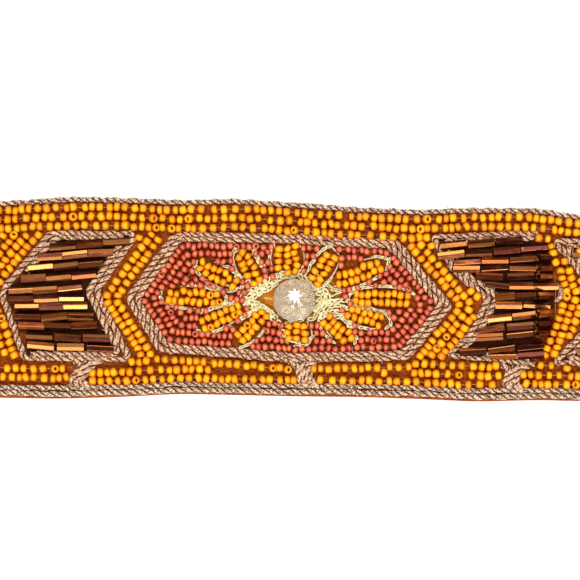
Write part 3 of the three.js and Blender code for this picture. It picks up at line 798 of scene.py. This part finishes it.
CLOSING_REACH = 5.4
last_outlines = [outlines[names[-1]] for names in side_names.values()]
border_reach = {}
for side, corner in (("top", 1), ("bottom", 3)):
    left_end, right_end = (outline[corner][0] for outline in last_outlines)
    border_reach[side] = (left_end - CLOSING_REACH, right_end + CLOSING_REACH)
draw = random.Random(5)
for side, rows in BORDER_ROWS.items():
    border_beads = []
    if side == "bottom":
        around = offset_outline(hexagon_outline, UNDER_HEXAGON)
        line = rounded([around[i] for i in (7, 6, 5)], CORNER_BEND)
        border_beads += string_beads(line, draw, BORDER_GAPS, BORDER_CLEARANCE)
    for inset, row_start, row_end in rows:
        line = edge_line(side, inset)
        row_start, row_end = max(row_start, border_reach[side][0]), min(row_end, border_reach[side][1])
        line = line[(line[:, 0] > row_start) & (line[:, 0] < row_end)]
        border_beads += string_beads(line, draw, BORDER_GAPS, BORDER_CLEARANCE)
    add_many(f"border_seeds_{side}", turned_shape(SEED_PROFILE, SEED_SIDES), border_beads,
             [amber_glass], ["amber_seed_field"])


def inside_border(x, y):
    """Whether a slanted string may still run here, short of the belt's edges."""
    return SLANTED_END_BOTTOM - edge_at("bottom", x) < y < edge_at("top", x) - SLANTED_END_TOP


slanted_beads = []
# Corners of the hexagon round its left and its right point, and of an arrow round its tip
HEXAGON_CORNERS = {"left": (7, 0, 1), "right": (3, 4, 5)}
TIP_CORNERS = (1, 2, 3)
for side, names in side_names.items():
    for name in (f"hexagon_{side}", *names):
        outline = outlines.get(name, hexagon_outline)
        corners = TIP_CORNERS if name in outlines else HEXAGON_CORNERS[side]
        rows = END_SLANTED_ROWS if name == names[-1] else FIRST_SLANTED_ROWS.get(name, SLANTED_ROWS)
        for distance in rows:
            around = offset_outline(outline, distance)
            line = rounded([around[i] for i in corners], CORNER_BEND)
            slanted_beads += string_beads(line, draw, SLANTED_GAPS, SLANTED_CLEARANCE, inside_border)
add_many("slanted_seeds", turned_shape(SEED_PROFILE, SEED_SIDES), slanted_beads,
         [amber_glass], [])

# The flower: twelve petals of amber seeds round the stone, each of two or more strings that run
# outwards, tied down on the ground. Sizes are in millimetres from the middle of the stone.
# Middle, length, width and turn in degrees of each petal
PETALS = [
    (-26.6, 0.1, 16.0, 4.9, 178), (-20.0, 6.0, 12.6, 4.6, 152), (-12.1, 8.0, 10.9, 5.2, 124),
    (-2.0, 10.8, 8.8, 8.0, 92), (7.6, 8.7, 10.9, 5.3, 58), (16.8, 7.2, 15.6, 4.9, 24),
    (23.2, 0.7, 16.6, 5.2, 0), (19.1, -4.2, 11.6, 4.6, -14), (11.4, -7.8, 9.9, 4.9, -38),
    (0.8, -8.9, 5.5, 7.1, -90), (-11.4, -7.6, 11.9, 5.0, -134), (-19.3, -5.0, 12.9, 4.6, -154),
]
PETAL_STRING_PITCH = 2.2
PETAL_STRING_WIDTH = 2.3
PETAL_GAPS = [(0.02, 0.14)]
PETAL_CLEARANCE = 1.1
PETAL_SPACING = 1.7
PETAL_SEED_WIDTHS = (1.4, 1.8)
PETAL_SEED_DIAMETERS = (2.15, 2.5)


def petal_place(petal, along, across):
    """A place on the belt, from its distance along and across a petal."""
    x, y, _, _, turn = petal
    angle = math.radians(turn)
    return (x + along * math.cos(angle) - across * math.sin(angle),
            y + along * math.sin(angle) + across * math.cos(angle))


def inside_petal(petal, x, y, margin):
    centre_x, centre_y, length, width, turn = petal
    angle = math.radians(turn)
    along = (x - centre_x) * math.cos(angle) + (y - centre_y) * math.sin(angle)
    across = -(x - centre_x) * math.sin(angle) + (y - centre_y) * math.cos(angle)
    return (along / (length / 2 + margin)) ** 2 + (across / (width / 2 + margin)) ** 2 < 1


def petal_arc(petal, outside, first, sweep, steps):
    """Part of a line round a petal, a little outside its beads."""
    return [petal_place(petal, (petal[2] / 2 + outside[0]) * math.cos(angle),
                        (petal[3] / 2 + outside[1]) * math.sin(angle))
            for angle in np.linspace(first, first + sweep, steps)]


draw = random.Random(23)
petal_beads = []
for petal in PETALS:
    _, _, length, width, _ = petal
    strings = max(2, round(width / PETAL_STRING_WIDTH))
    for i in range(strings):
        across = (i - (strings - 1) / 2) * PETAL_STRING_PITCH
        half = (length / 2 - 0.4) * (1 - (abs(across) / (width / 2 + 0.5)) ** 2) ** 0.5
        line = even_line([petal_place(petal, -half, across * 0.85), petal_place(petal, 0, across),
                          petal_place(petal, half, across)])
        petal_beads += string_beads(line, draw, PETAL_GAPS, PETAL_CLEARANCE, None, PETAL_SPACING,
                                    PETAL_SEED_WIDTHS, PETAL_SEED_DIAMETERS, sway=0.22, twist=0.38)
add_many("flower_seeds", turned_shape(SEED_PROFILE, SEED_SIDES), petal_beads,
         [amber_glass], [f"petal_{i + 1}" for i in range(len(PETALS))])

# The red strings: smaller brick-red seeds that follow the hexagon inwards, three or four strings deep
# at its points, and fill the ground between the petals.
BRICK_ROW_PITCH = 2.0
BRICK_DIAMETERS = (1.95, 2.2)
BRICK_WIDTHS = (1.25, 1.7)
BRICK_CLEARANCE = 1.3
BRICK_SPACING = 1.6
FIRST_BRICK_ROW = 1.6
BRICK_GAPS = [(0.03, 0.25)] * 4 + [(0.3, 0.7)]
PETAL_MARGIN = 0.85
STONE_ROOM = (13.5, 6.4)


def off_the_flower(x, y):
    if (x / STONE_ROOM[0]) ** 2 + (y / STONE_ROOM[1]) ** 2 < 1:
        return False
    return not any(inside_petal(petal, x, y, PETAL_MARGIN) for petal in PETALS)


brick_glass, nodes, links, shader = new_finish("brick_glass", 0.33)
# Brick colours for the painted lit crown, highlight, shaded sides and shaded foot.
colour = placed_effect(nodes, glass_seed, Foot=(0.14, 0.009, 0.003, 1), Side=(0.38, 0.036, 0.012, 1),
                       Crown=(0.66, 0.1, 0.036, 1), Heart=(0.84, 0.24, 0.14, 1))
links.new(colour.outputs["Colour"], shader.inputs["Base Color"])
shader.inputs["Specular IOR Level"].default_value = 0.25
brick_beads = []
for inset in [*np.arange(7) * BRICK_ROW_PITCH, *(np.arange(13) * BRICK_ROW_PITCH + 1) / 2]:
    around = offset_outline(second_row(hexagon_outline), -(FIRST_BRICK_ROW + inset))
    line = ring_line(around, HEXAGON_START)
    brick_beads += string_beads(line, draw, BRICK_GAPS, BRICK_CLEARANCE, off_the_flower, BRICK_SPACING,
                                BRICK_WIDTHS, BRICK_DIAMETERS, sway=0.16, twist=0.3)
add_many("brick_seeds", turned_shape(SEED_PROFILE, SEED_SIDES), brick_beads,
         [brick_glass], ["brick_seed_field"])

# The bead thread: one fine peach thread runs through each string and shows between the beads. Another
# lies bare along the far side of the first right arrow.
THREAD_RADIUS = 0.1
BARE_THREAD = [(66.2, 15.6, 2.4), (67.8, 13, 2.2), (68.7, 5, 2.3), (68.9, -4.1, 2.2), (67.6, -9.5, 2.3)]
peach_thread, nodes, links, shader = new_finish("peach_thread", 0.7)
tint = blended(nodes, links, speckle(nodes, links, own_place(nodes), 900),
               (0.5, 0.17, 0.06, 1), (0.82, 0.48, 0.28, 1))
links.new(tint, shader.inputs["Base Color"])


def add_threads(name, threads, radius, materials, nodes):
    """Round threads along open lines of points."""
    curve = bpy.data.curves.new(name, "CURVE")
    curve.dimensions = "3D"
    curve.bevel_depth, curve.bevel_resolution = radius / 1000, 0
    curve.use_fill_caps = True
    for thread in threads:
        spline = curve.splines.new("POLY")
        spline.points.add(len(thread) - 1)
        for point, (x, y, z) in zip(spline.points, thread):
            point.co = (x / 1000, y / 1000, z / 1000, 1)
    helper = bpy.data.objects.new(name, curve)
    bpy.context.scene.collection.objects.link(helper)
    return link_piece(name, finished_mesh(helper), materials, nodes)


thread_lines.append(BARE_THREAD)
add_threads("seed_thread", [thread for thread in thread_lines if len(thread) > 1], THREAD_RADIUS,
            [peach_thread], [])

# The embroidery: cream cotton in chain stitch, in thick braids about the stone and out between the
# petals, with narrow chains and plain threads round parts of the petals. Each stitch of a chain is one
# small closed loop.
STITCH_PITCH = 1.5
STITCH_LEVEL = 2.9
LOOP_HALF_LENGTH, LOOP_HALF_WIDTH = 0.95, 0.4
LOOP_PROFILE = [(-0.26, 0), (0, 0.24), (0.26, 0), (0, -0.24)]
LOOP_TAPER = 0.35
STITCH_CLEARANCE = 0.9
NARROW_STITCH = 0.62
BRAIDS = [
    [(-12.5, 1.6), (-10, 3.1), (-7.5, 4.8), (-5.2, 6.1), (-3.2, 6.9), (-0.9, 6.9), (1.1, 6.2), (3.1, 5.2),
     (4.6, 3.5)],
    [(-12.2, 0.6), (-9.5, 2.2), (-7, 3.5), (-4.7, 5.1), (-2.7, 6.1), (-0.9, 6.3)],
    [(-10.7, 0.4), (-8.2, 2), (-6.2, 3.1), (-4.7, 4.3)],
    [(-13.8, 0.6), (-13.2, -0.9), (-11.7, -1.9), (-10, -2.3)],
    [(-12.6, 0.2), (-12.2, -0.8), (-10.8, -0.9), (-9.4, -1.2)],
    [(-10, -1.8), (-8.2, -1.8), (-7, -2.8), (-5.7, -4), (-4.2, -5.5), (-3.4, -7), (-3.2, -8.5),
     (-2.2, -9.5), (-0.7, -10.5), (1.8, -11.4)],
    [(-9.7, -2.3), (-7.7, -3.3), (-6.2, -4.5), (-5, -5.8)],
    [(-10.7, -3.4), (-12.2, -4.4), (-13.8, -5.2), (-14.8, -5.7)],
    [(-15.3, 5.9), (-13.2, 5.1), (-12.2, 4.2), (-13.5, 3.6)],
    [(-10.7, 12.5), (-10, 10.8), (-9, 9.5), (-8.2, 8.3), (-7.7, 7)],
    [(1.6, 7.4), (1.8, 6.4), (2.6, 7)],
    [(5.1, 3), (6.9, 3), (8.4, 2.3), (9.1, 1), (8.4, -0.5), (6.9, -1), (5.9, -2)],
    [(6.1, 1.9), (7.4, 1.3), (7.6, 0.4), (6.2, -0.1)],
    [(5.6, -2.5), (6.9, -1.5), (8.9, -0.5), (10.7, -0.2), (12.4, 0.1), (14.2, -0.1), (15.5, -0.8),
     (16.2, -1.3)],
    [(6.9, -3), (8.4, -2.2), (10.2, -1.4), (12.2, -1.2), (13.7, -2.1), (15.2, -1.8)],
    [(9.4, -4.2), (11.2, -4.4), (12.9, -4.2), (13.2, -3.4)],
    [(7.1, -4.5), (8.4, -3.7), (9.9, -3), (11.4, -2.9), (12.7, -3.4)],
    [(14.4, -6.4), (15.7, -6.6), (15.5, -5.9)],
    [(5.5, 4.5), (6.3, 5.6), (5.6, 6.6)], [(-12.8, -0.4), (-17, -1.4), (-21, -2.5), (-24.9, -3.7)],
    [(-16.5, 2.6), (-14.4, 2.2), (-13.2, 1.4)],
    [(4.2, -5.2), (5.5, -4.6), (5.8, -3.6)],
]
PLAIN_THREADS = [
    [(-18.3, 1.8), (-16.8, 1.6), (-15.3, 2.1)],
    [(-18.3, 0.3), (-16.8, 0), (-15.8, -0.7)],
    [(-16.4, 11.6), (-15, 12.7), (-13.5, 13.2), (-11.7, 13), (-10.7, 12.5)],
    [(7.9, 14.4), (9.4, 14.3), (10.2, 13.4), (11.4, 12.2), (12.3, 10.9)],
    [(9.7, 1), (11.4, 1.9), (13.2, 2.4), (14.4, 2.7)], [(7.9, -7), (8.9, -8.5), (10.2, -10)],
    [(3.4, -5.6), (3.9, -6.6), (3.1, -7.6)], [(3.6, -9.4), (3.1, -11.1)],
    [(-12, 1.9), (-15.4, 2.9), (-19, 3.6)], [(9.6, 3.2), (12.4, 4.4), (14.6, 4.6)],
]
PLAIN_THREAD_RADIUS = 0.24

draw = random.Random(41)
loop = bmesh.new()
section = [loop.verts.new((1 + radial, 0, level)) for radial, level in LOOP_PROFILE]
for vert, following in zip(section, section[1:] + section[:1]):
    loop.edges.new((vert, following))
bmesh.ops.spin(loop, geom=loop.verts[:] + loop.edges[:], cent=(0, 0, 0), axis=(0, 0, 1),
               angle=2 * math.pi, steps=10, use_merge=True)
bmesh.ops.remove_doubles(loop, verts=loop.verts, dist=0.0001)
for vert in loop.verts:
    angle, spread = math.atan2(vert.co.y, vert.co.x), vert.co.xy.length - 1
    vert.co.x = math.cos(angle) * (LOOP_HALF_LENGTH + spread)
    vert.co.y = math.sin(angle) * (LOOP_HALF_WIDTH + spread) * (1 - LOOP_TAPER * math.cos(angle))
    vert.co.z -= 0.14 * vert.co.x
bmesh.ops.recalc_face_normals(loop, faces=loop.faces)
petal_arcs = []
for petal in PETALS:
    for first in (draw.uniform(-0.6, 0.4), draw.uniform(2.4, 3.2)):
        petal_arcs.append(petal_arc(petal, (0.7, 0.7), first, draw.uniform(1.4, 2.3), 14))
stitches = []
for braid, braid_width in [(arc, NARROW_STITCH) for arc in petal_arcs] + [(braid, 1) for braid in BRAIDS]:
    line = rounded(braid, 1.0)
    run = run_along(line)
    tangent = np.gradient(line, axis=0)
    for place in np.arange(0.5, run[-1] + 0.4, STITCH_PITCH):
        place = min(place + draw.uniform(-0.15, 0.15), run[-1])
        turn = turn_at(place, run, tangent)
        x, y = np.interp(place, run, line[:, 0]), np.interp(place, run, line[:, 1])
        size = draw.uniform(0.95, 1.25)
        if cord_places.find((x, y, 0))[2] < STITCH_CLEARANCE:
            continue
        stitches.append((
            Matrix.Translation((x, y, STITCH_LEVEL + draw.uniform(-0.1, 0.3)))
            @ Matrix.Rotation(turn + draw.gauss(0, 0.24), 4, "Z")
            @ Matrix.Rotation(draw.gauss(0, 0.12), 4, "Y")
            @ Matrix.Diagonal((size, size * braid_width, 1.2, 1)),
            draw.random()))

cream_cotton, nodes, links, shader = new_finish("cream_cotton", 0.7)
spin = placed_effect(nodes, spun_yarn, Gap=(0.1, 0.09, 0.03, 1), Body=(0.74, 0.64, 0.28, 1),
                     Crest=(1, 0.97, 0.66, 1), Grain=1700)
links.new(spin.outputs["Colour"], shader.inputs["Base Color"])
raised(nodes, links, spin.outputs["Height"], 0.4, 0.0002, shader)
add_many("chain_stitches", loop, stitches, [cream_cotton], ["flower_stitching"])
plain_lines = [[(x, y, 2.7 + 0.15 * math.sin(2 * i)) for i, (x, y) in enumerate(rounded(line, 1.0))]
               for line in PLAIN_THREADS]
for petal in PETALS:
    for first in (draw.uniform(0.3, 1.2), draw.uniform(3.4, 4.4)):
        arc = petal_arc(petal, (0.5, 0.45), first, draw.uniform(0.9, 1.6), 12)
        plain_lines.append([(x, y, 2.6) for x, y in arc])
add_threads("plain_stitches", plain_lines, PLAIN_THREAD_RADIUS, [cream_cotton], [])

# The bugles: seven-millimetre tubes of dark glass with six flat sides and open ends, strung in level
# rows across every arrow. Each has turned on its thread, so only some sides catch the light. Each side
# also gets a random tone: plum, brown and copper are the glass's own mix, and gold is a painted reflection.
BUGLE_LENGTH = 7.0
BUGLE_RADIUS = 1.2
BUGLE_SIDES = 6
BUGLE_EDGE = math.radians(5)
BUGLE_PROFILE = [(-0.49, 0.5), (-0.5, 0.94), (0.5, 0.94), (0.49, 0.5)]
BUGLE_ROW_PITCH = 2.5
BUGLE_MARGINS = [-2.6, -0.6, -0.6, -2.6, -1.9, -1.9, -1.9, -1.9]
# Start and end of each row of the two arrows beside the hexagon, and its height at either end
FIRST_BUGLE_ROWS = {
    "left_1": [
        (-64.7, -43.5, 12.6, 14.6), (-67.9, -47.8, 9.8, 11.6), (-70.2, -50.3, 6.9, 8.5),
        (-72, -52.1, 4.1, 5.5), (-75.2, -55.8, 0.7, 1.9), (-75, -55.3, -1.4, -0.6),
        (-73.5, -54.3, -3.3, -2.7), (-73.5, -52.6, -5.9, -5.5), (-72.5, -51.6, -8.1, -7.9),
        (-70.7, -48.1, -11, -11.2), (-70.4, -46.8, -13.4, -13.8),
    ],
    "right_1": [
        (37.8, 59.9, 14.8, 16.8), (37.3, 66.4, 12.2, 14.9), (41.5, 68, 10.3, 12.5), (41.3, 68, 9, 9.6),
        (47, 67.9, 6.8, 7.4), (49.9, 69.3, 5, 4.5), (52.6, 67.8, 1.7, 2.4), (52.6, 67.5, -0.7, 0),
        (50.8, 68, -4.4, -2), (48, 67.8, -7.3, -4.9), (47.5, 67.8, -9.2, -7.4),
        (43.4, 65.9, -13.2, -10.9), (51.5, 66, -13.8, -13.2),
    ],
}
# The rows of the right arrow whose last bugle stands up steeply
STEEP_ROWS = (2, 3, 4, 6, 8, 9, 10)
STEEP_ROOM = 4.4
STEEP_LENGTH = 5.2
STEEP_PITCHES = (0.6, 0.8)
SHADE_MARGIN = 1


def bugle_shape():
    """A tube of six flat sides with a narrow slant along each of its edges."""
    tube = turned_shape(BUGLE_PROFILE, 2 * BUGLE_SIDES)
    step = math.pi / BUGLE_SIDES
    for vert in tube.verts:
        angle, reach = math.atan2(vert.co.z, vert.co.y), math.hypot(vert.co.y, vert.co.z)
        number = round((angle - math.pi / 2) / step)
        angle += BUGLE_EDGE if number % 2 == 0 else step - BUGLE_EDGE
        vert.co.y, vert.co.z = reach * math.cos(angle), reach * math.sin(angle)
    return tube


def facet_number(face):
    """Which of the flat sides a face of a tube belongs to; the narrow slants are the odd numbers."""
    middle = face.calc_center_median()
    turn = math.atan2(middle.z, middle.y) - math.pi / 2
    return round(turn / (math.pi / BUGLE_SIDES) + 1) % (2 * BUGLE_SIDES)


def spans_at(outline, y):
    """The left and right end of an outline at one height."""
    crossings = []
    for (x0, y0), (x1, y1) in zip(outline, np.roll(outline, -1, axis=0)):
        if (y0 <= y) != (y1 <= y):
            crossings.append(x0 + (x1 - x0) * (y - y0) / (y1 - y0))
    return min(crossings), max(crossings)


def on_panel(outline, x, y):
    if not min(outline[:, 1]) + SHADE_MARGIN < y < max(outline[:, 1]) - SHADE_MARGIN:
        return False
    left, right = spans_at(outline, y)
    return left + SHADE_MARGIN < x < right - SHADE_MARGIN


def bugle_rows(name):
    """The ends of every row of bugles in an arrow, from the top down."""
    if name in FIRST_BUGLE_ROWS:
        return FIRST_BUGLE_ROWS[name]
    room = offset_outline(outlines[name], BUGLE_MARGINS)
    top, bottom = min(room[0][1], room[1][1]), max(room[3][1], room[4][1])
    rows = []
    for share in np.linspace(0, 1, int((top - bottom) / BUGLE_ROW_PITCH) + 1):
        y = top - 0.5 - share * (top - bottom - 1)
        left, right = spans_at(room, y)
        pieces = max(1, round((right - left + 1.2) / BUGLE_LENGTH))
        spare = max((right - left) / 2 - pieces * BUGLE_LENGTH / 2, -0.8)
        rise = (right - left - 2 * spare) * math.tan(math.radians(5 - 6 * share)) / 2
        rows.append((left + spare, right - spare, y - rise * 0.6, y + rise * 0.6))
    return rows


def lay_bugle(x, y, length, turn, pitch, draw):
    """The placing and the tone of one bugle, rolled at random about its own length."""
    level = BAND_THICKNESS + BUGLE_RADIUS + draw.uniform(0, 0.3) + abs(math.sin(pitch)) * length * 0.3
    return (Matrix.Translation((x, y, level)) @ Matrix.Rotation(turn, 4, "Z")
            @ Matrix.Rotation(pitch, 4, "Y") @ Matrix.Rotation(draw.uniform(0, math.pi / 3), 4, "X")
            @ Matrix.Diagonal((length, BUGLE_RADIUS, BUGLE_RADIUS, 1)),
            draw.random())


bugle_colour, nodes, links, start, end = new_effect(
    "bugle_colour",
    {"Plum": "NodeSocketColor", "Brown": "NodeSocketColor", "Copper": "NodeSocketColor",
     "Gold": "NodeSocketColor"},
    {"Colour": "NodeSocketColor"},
)
along = nodes.new("ShaderNodeMapping")
links.new(own_place(nodes), along.inputs["Vector"])
along.inputs["Scale"].default_value = (0.22, 1, 1)
streaks = speckle(nodes, links, along.outputs["Vector"], 1300)
# Partly painted reflection: each facet gets a random tone from plum through brown to copper, the glass's
# own colours, and the gold ones stand in for facets that catch the light.
facet = carried(nodes, "facet_tone")
dark = blended(nodes, links, ranged(nodes, links, facet, 0.1, 0.55), start.outputs["Plum"],
               start.outputs["Brown"])
dark = blended(nodes, links, ranged(nodes, links, facet, 0.45, 0.66), dark, start.outputs["Copper"])
dark = blended(nodes, links, ranged(nodes, links, facet, 0.68, 0.8), dark, start.outputs["Gold"])
links.new(blended(nodes, links, ranged(nodes, links, streaks, 0.5, 0.72, 0, 0.5), dark,
                  start.outputs["Copper"]), end.inputs["Colour"])
bugle_glass, nodes, links, shader = new_finish("bugle_glass", 0.17, 0.75)
colour = placed_effect(nodes, bugle_colour, Plum=(0.05, 0.006, 0.006, 1), Brown=(0.11, 0.024, 0.006, 1),
                       Copper=(0.3, 0.09, 0.02, 1), Gold=(0.52, 0.2, 0.05, 1))
links.new(colour.outputs["Colour"], shader.inputs["Base Color"])
shader.inputs["Specular IOR Level"].default_value = 0.12
shader.inputs["Coat Weight"].default_value = 0.1
shader.inputs["Coat Roughness"].default_value = 0.08

# Painted shade: this marks the suede under each bugle panel, which the suede's finish paints nearly black.
shades = [any(on_panel(outline, vert.co.x * 1000, vert.co.y * 1000) for outline in outlines.values())
          for vert in suede_band.data.vertices]
suede_band.data.attributes.new("under_bugles", "FLOAT", "POINT").data.foreach_set("value", shades)
facet_draw = np.random.default_rng(3)
for side, draw in (("left", random.Random(12)), ("right", random.Random(67))):
    bugles = []
    names = side_names[side]
    for name in names:
        for number, (left, right, left_height, right_height) in enumerate(bugle_rows(name)):
            turn = math.atan2(right_height - left_height, right - left)
            steep = name == "right_1" and number in STEEP_ROWS
            reach = right - left - (STEEP_ROOM if steep else 0)
            pieces = max(1, round(reach / (BUGLE_LENGTH - 0.1)))
            for piece in range(pieces + steep):
                standing = piece == pieces
                share = (piece + 0.5) / pieces * reach if not standing else reach + STEEP_ROOM / 2
                length = STEEP_LENGTH if standing else min(BUGLE_LENGTH, reach / pieces - 0.15)
                pitch = draw.uniform(*STEEP_PITCHES) if standing else draw.gauss(0, 0.025)
                bugles.append(lay_bugle(left + share, left_height + share * math.tan(turn), length,
                                        turn + draw.gauss(0, 0.045), pitch, draw))
    tube = bugle_shape()
    facets = [facet_number(face) for face in tube.faces]
    field = add_many(f"bugles_{side}", tube, bugles, [bugle_glass],
                     [f"bugle_field_{name}" for name in names], smooth=False)
    # A random tone for every facet, partly the glass's own colour and partly painted reflection where it
    # reaches gold.
    facet_tones = facet_draw.random((len(bugles), 2 * BUGLE_SIDES))[:, facets]
    tones = field.data.attributes.new("facet_tone", "FLOAT", "FACE")
    tones.data.foreach_set("value", facet_tones.ravel())

# The stone: one clear faceted glass bead with a star cut on top, held by a thread through its middle.
# Orange suede and the cream stitches under it show through its facets.
STONE_RADIUS = 5.65
STONE_HEIGHT = 4.2
STONE_LEVEL = 3.2
STONE_SIDES = 16
STONE_BORE = 0.6
BORE_LEVEL = STONE_LEVEL + 0.45 * STONE_HEIGHT
STONE_THREAD_RADIUS = 0.12
UNDER_STITCH_RADIUS = 0.34
# Height of each ring, and the reach of its even and odd corners, as shares
STONE_RINGS = [(0, 0.7, 0.66), (0.4, 1, 0.985), (0.5, 1, 0.985), (0.74, 0.88, 0.79), (0.92, 0.63, 0.5),
               (1, 0.36, 0.2)]
STONE_LEAN = 1.1
stone = bmesh.new()
stone_rings = []
for share, even, odd in STONE_RINGS:
    ring = bmesh.ops.create_circle(stone, segments=STONE_SIDES, radius=STONE_RADIUS)["verts"]
    for i, vert in enumerate(ring):
        vert.co *= even if i % 2 == 0 else odd
        vert.co.y += STONE_LEAN * max(0, share - 0.5) * 2
        vert.co.z = STONE_LEVEL + share * STONE_HEIGHT
    stone_rings.append(list({edge for vert in ring for edge in vert.link_edges}))
for lower, upper in zip(stone_rings, stone_rings[1:]):
    bmesh.ops.bridge_loops(stone, edges=lower + upper)
bmesh.ops.holes_fill(stone, edges=[edge for edge in stone.edges if edge.is_boundary])
bmesh.ops.recalc_face_normals(stone, faces=stone.faces)
bmesh.ops.translate(stone, verts=stone.verts, vec=(0, -0.1, 0))

clear_glass, nodes, links, shader = new_finish("clear_glass", 0.03)
shader.inputs["Base Color"].default_value = (1, 0.88, 0.7, 1)
shader.inputs["Transmission Weight"].default_value = 0.7
shader.inputs["IOR"].default_value = 1.5
cut_stone = add_piece("cut_stone", stone, [clear_glass], ["centre_stone"], smooth=False)
drill_shape = bmesh.new()
bmesh.ops.create_cone(drill_shape, cap_ends=True, segments=12, radius1=STONE_BORE / 1000,
                      radius2=STONE_BORE / 1000, depth=0.014,
                      matrix=Matrix.Translation((0, 0, BORE_LEVEL / 1000))
                      @ Matrix.Rotation(math.pi / 2, 4, "Y"))
cut_away(cut_stone, drill_shape, "stone_drill")
STONE_THREAD = [
    (-8.2, 0.4, 2.3), (-6.4, 0.1, BORE_LEVEL - 0.6), (-5, -0.1, BORE_LEVEL),
    (5, -0.1, BORE_LEVEL), (6.2, -0.2, BORE_LEVEL - 0.6), (7.8, -0.4, 2.3),
]
add_threads("stone_thread", [STONE_THREAD], STONE_THREAD_RADIUS, [cream_cotton], [])
# Height, left and right end of the stitches under the stone
UNDER_STITCHES = [(1.9, -5, 5.1), (1.3, -4.6, 5.2), (-1.6, -5.3, 5.2), (-2.2, -5, 5), (-2.8, -4.8, 4.8),
                  (-3.4, -4.3, 4.4), (-4, -3.8, 3.8), (-4.6, -3, 3.1), (-5.1, -2, 2.2)]
under_lines = [[(left, y - 0.1, 2.3), (0.3 * (left + right), y, 2.7), (right, y + 0.15, 2.3)]
               for y, left, right in UNDER_STITCHES]
add_threads("under_stitches", under_lines, UNDER_STITCH_RADIUS, [cream_cotton], [])

# The loose fibres: fine ends of yarn, light and dark, that stand off the twisted cords everywhere.
FIBRE_COUNT = 1700
FIBRE_RADIUS = 0.055
FIBRE_LEVEL = 3.15
FIBRE_LENGTHS = (0.7, 1.9)
fuzz_fibre, nodes, links, shader = new_finish("fuzz_fibre", 0.85)
strength = speckle(nodes, links, own_place(nodes), 260, 0)
links.new(blended(nodes, links, ranged(nodes, links, strength, 0.46, 0.54), (0.1, 0.05, 0.03, 1),
                  (0.95, 0.72, 0.5, 1)), shader.inputs["Base Color"])
draw = random.Random(9)
fibres = []
for _ in range(FIBRE_COUNT):
    line = draw.choice(all_cord_lines)
    point = draw.randrange(len(line) - 1)
    (x, y), along = line[point], line[point + 1] - line[point]
    turn = math.atan2(along[1], along[0]) + draw.gauss(0, 0.8)
    x, y, length = x + draw.gauss(0, 0.35), y + draw.gauss(0, 0.35), draw.uniform(*FIBRE_LENGTHS)
    fibres.append([(x + length * share * math.cos(turn + bend * share),
                    y + length * share * math.sin(turn + bend * share), FIBRE_LEVEL + 0.35 * share)
                   for bend in [draw.gauss(0, 0.7)] for share in (0, 0.5, 1)])
add_threads("yarn_fuzz", fibres, FIBRE_RADIUS, [fuzz_fibre], [])

# The fastening: a hook and an eye of plain sheet steel, let into the underside of the ends.
steel, nodes, links, shader = new_finish("brushed_steel", 0.3, 1.0)
grain = speckle(nodes, links, own_place(nodes), 1500, 4)
links.new(ranged(nodes, links, grain, 0.3, 0.7, 0.22, 0.42), shader.inputs["Roughness"])
links.new(blended(nodes, links, grain, (0.42, 0.42, 0.41, 1), (0.62, 0.62, 0.6, 1)),
          shader.inputs["Base Color"])
for name in ("hook", "eye"):
    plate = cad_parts[name]
    plate.data.materials.clear()
    plate.data.materials.append(steel)

low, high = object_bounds()
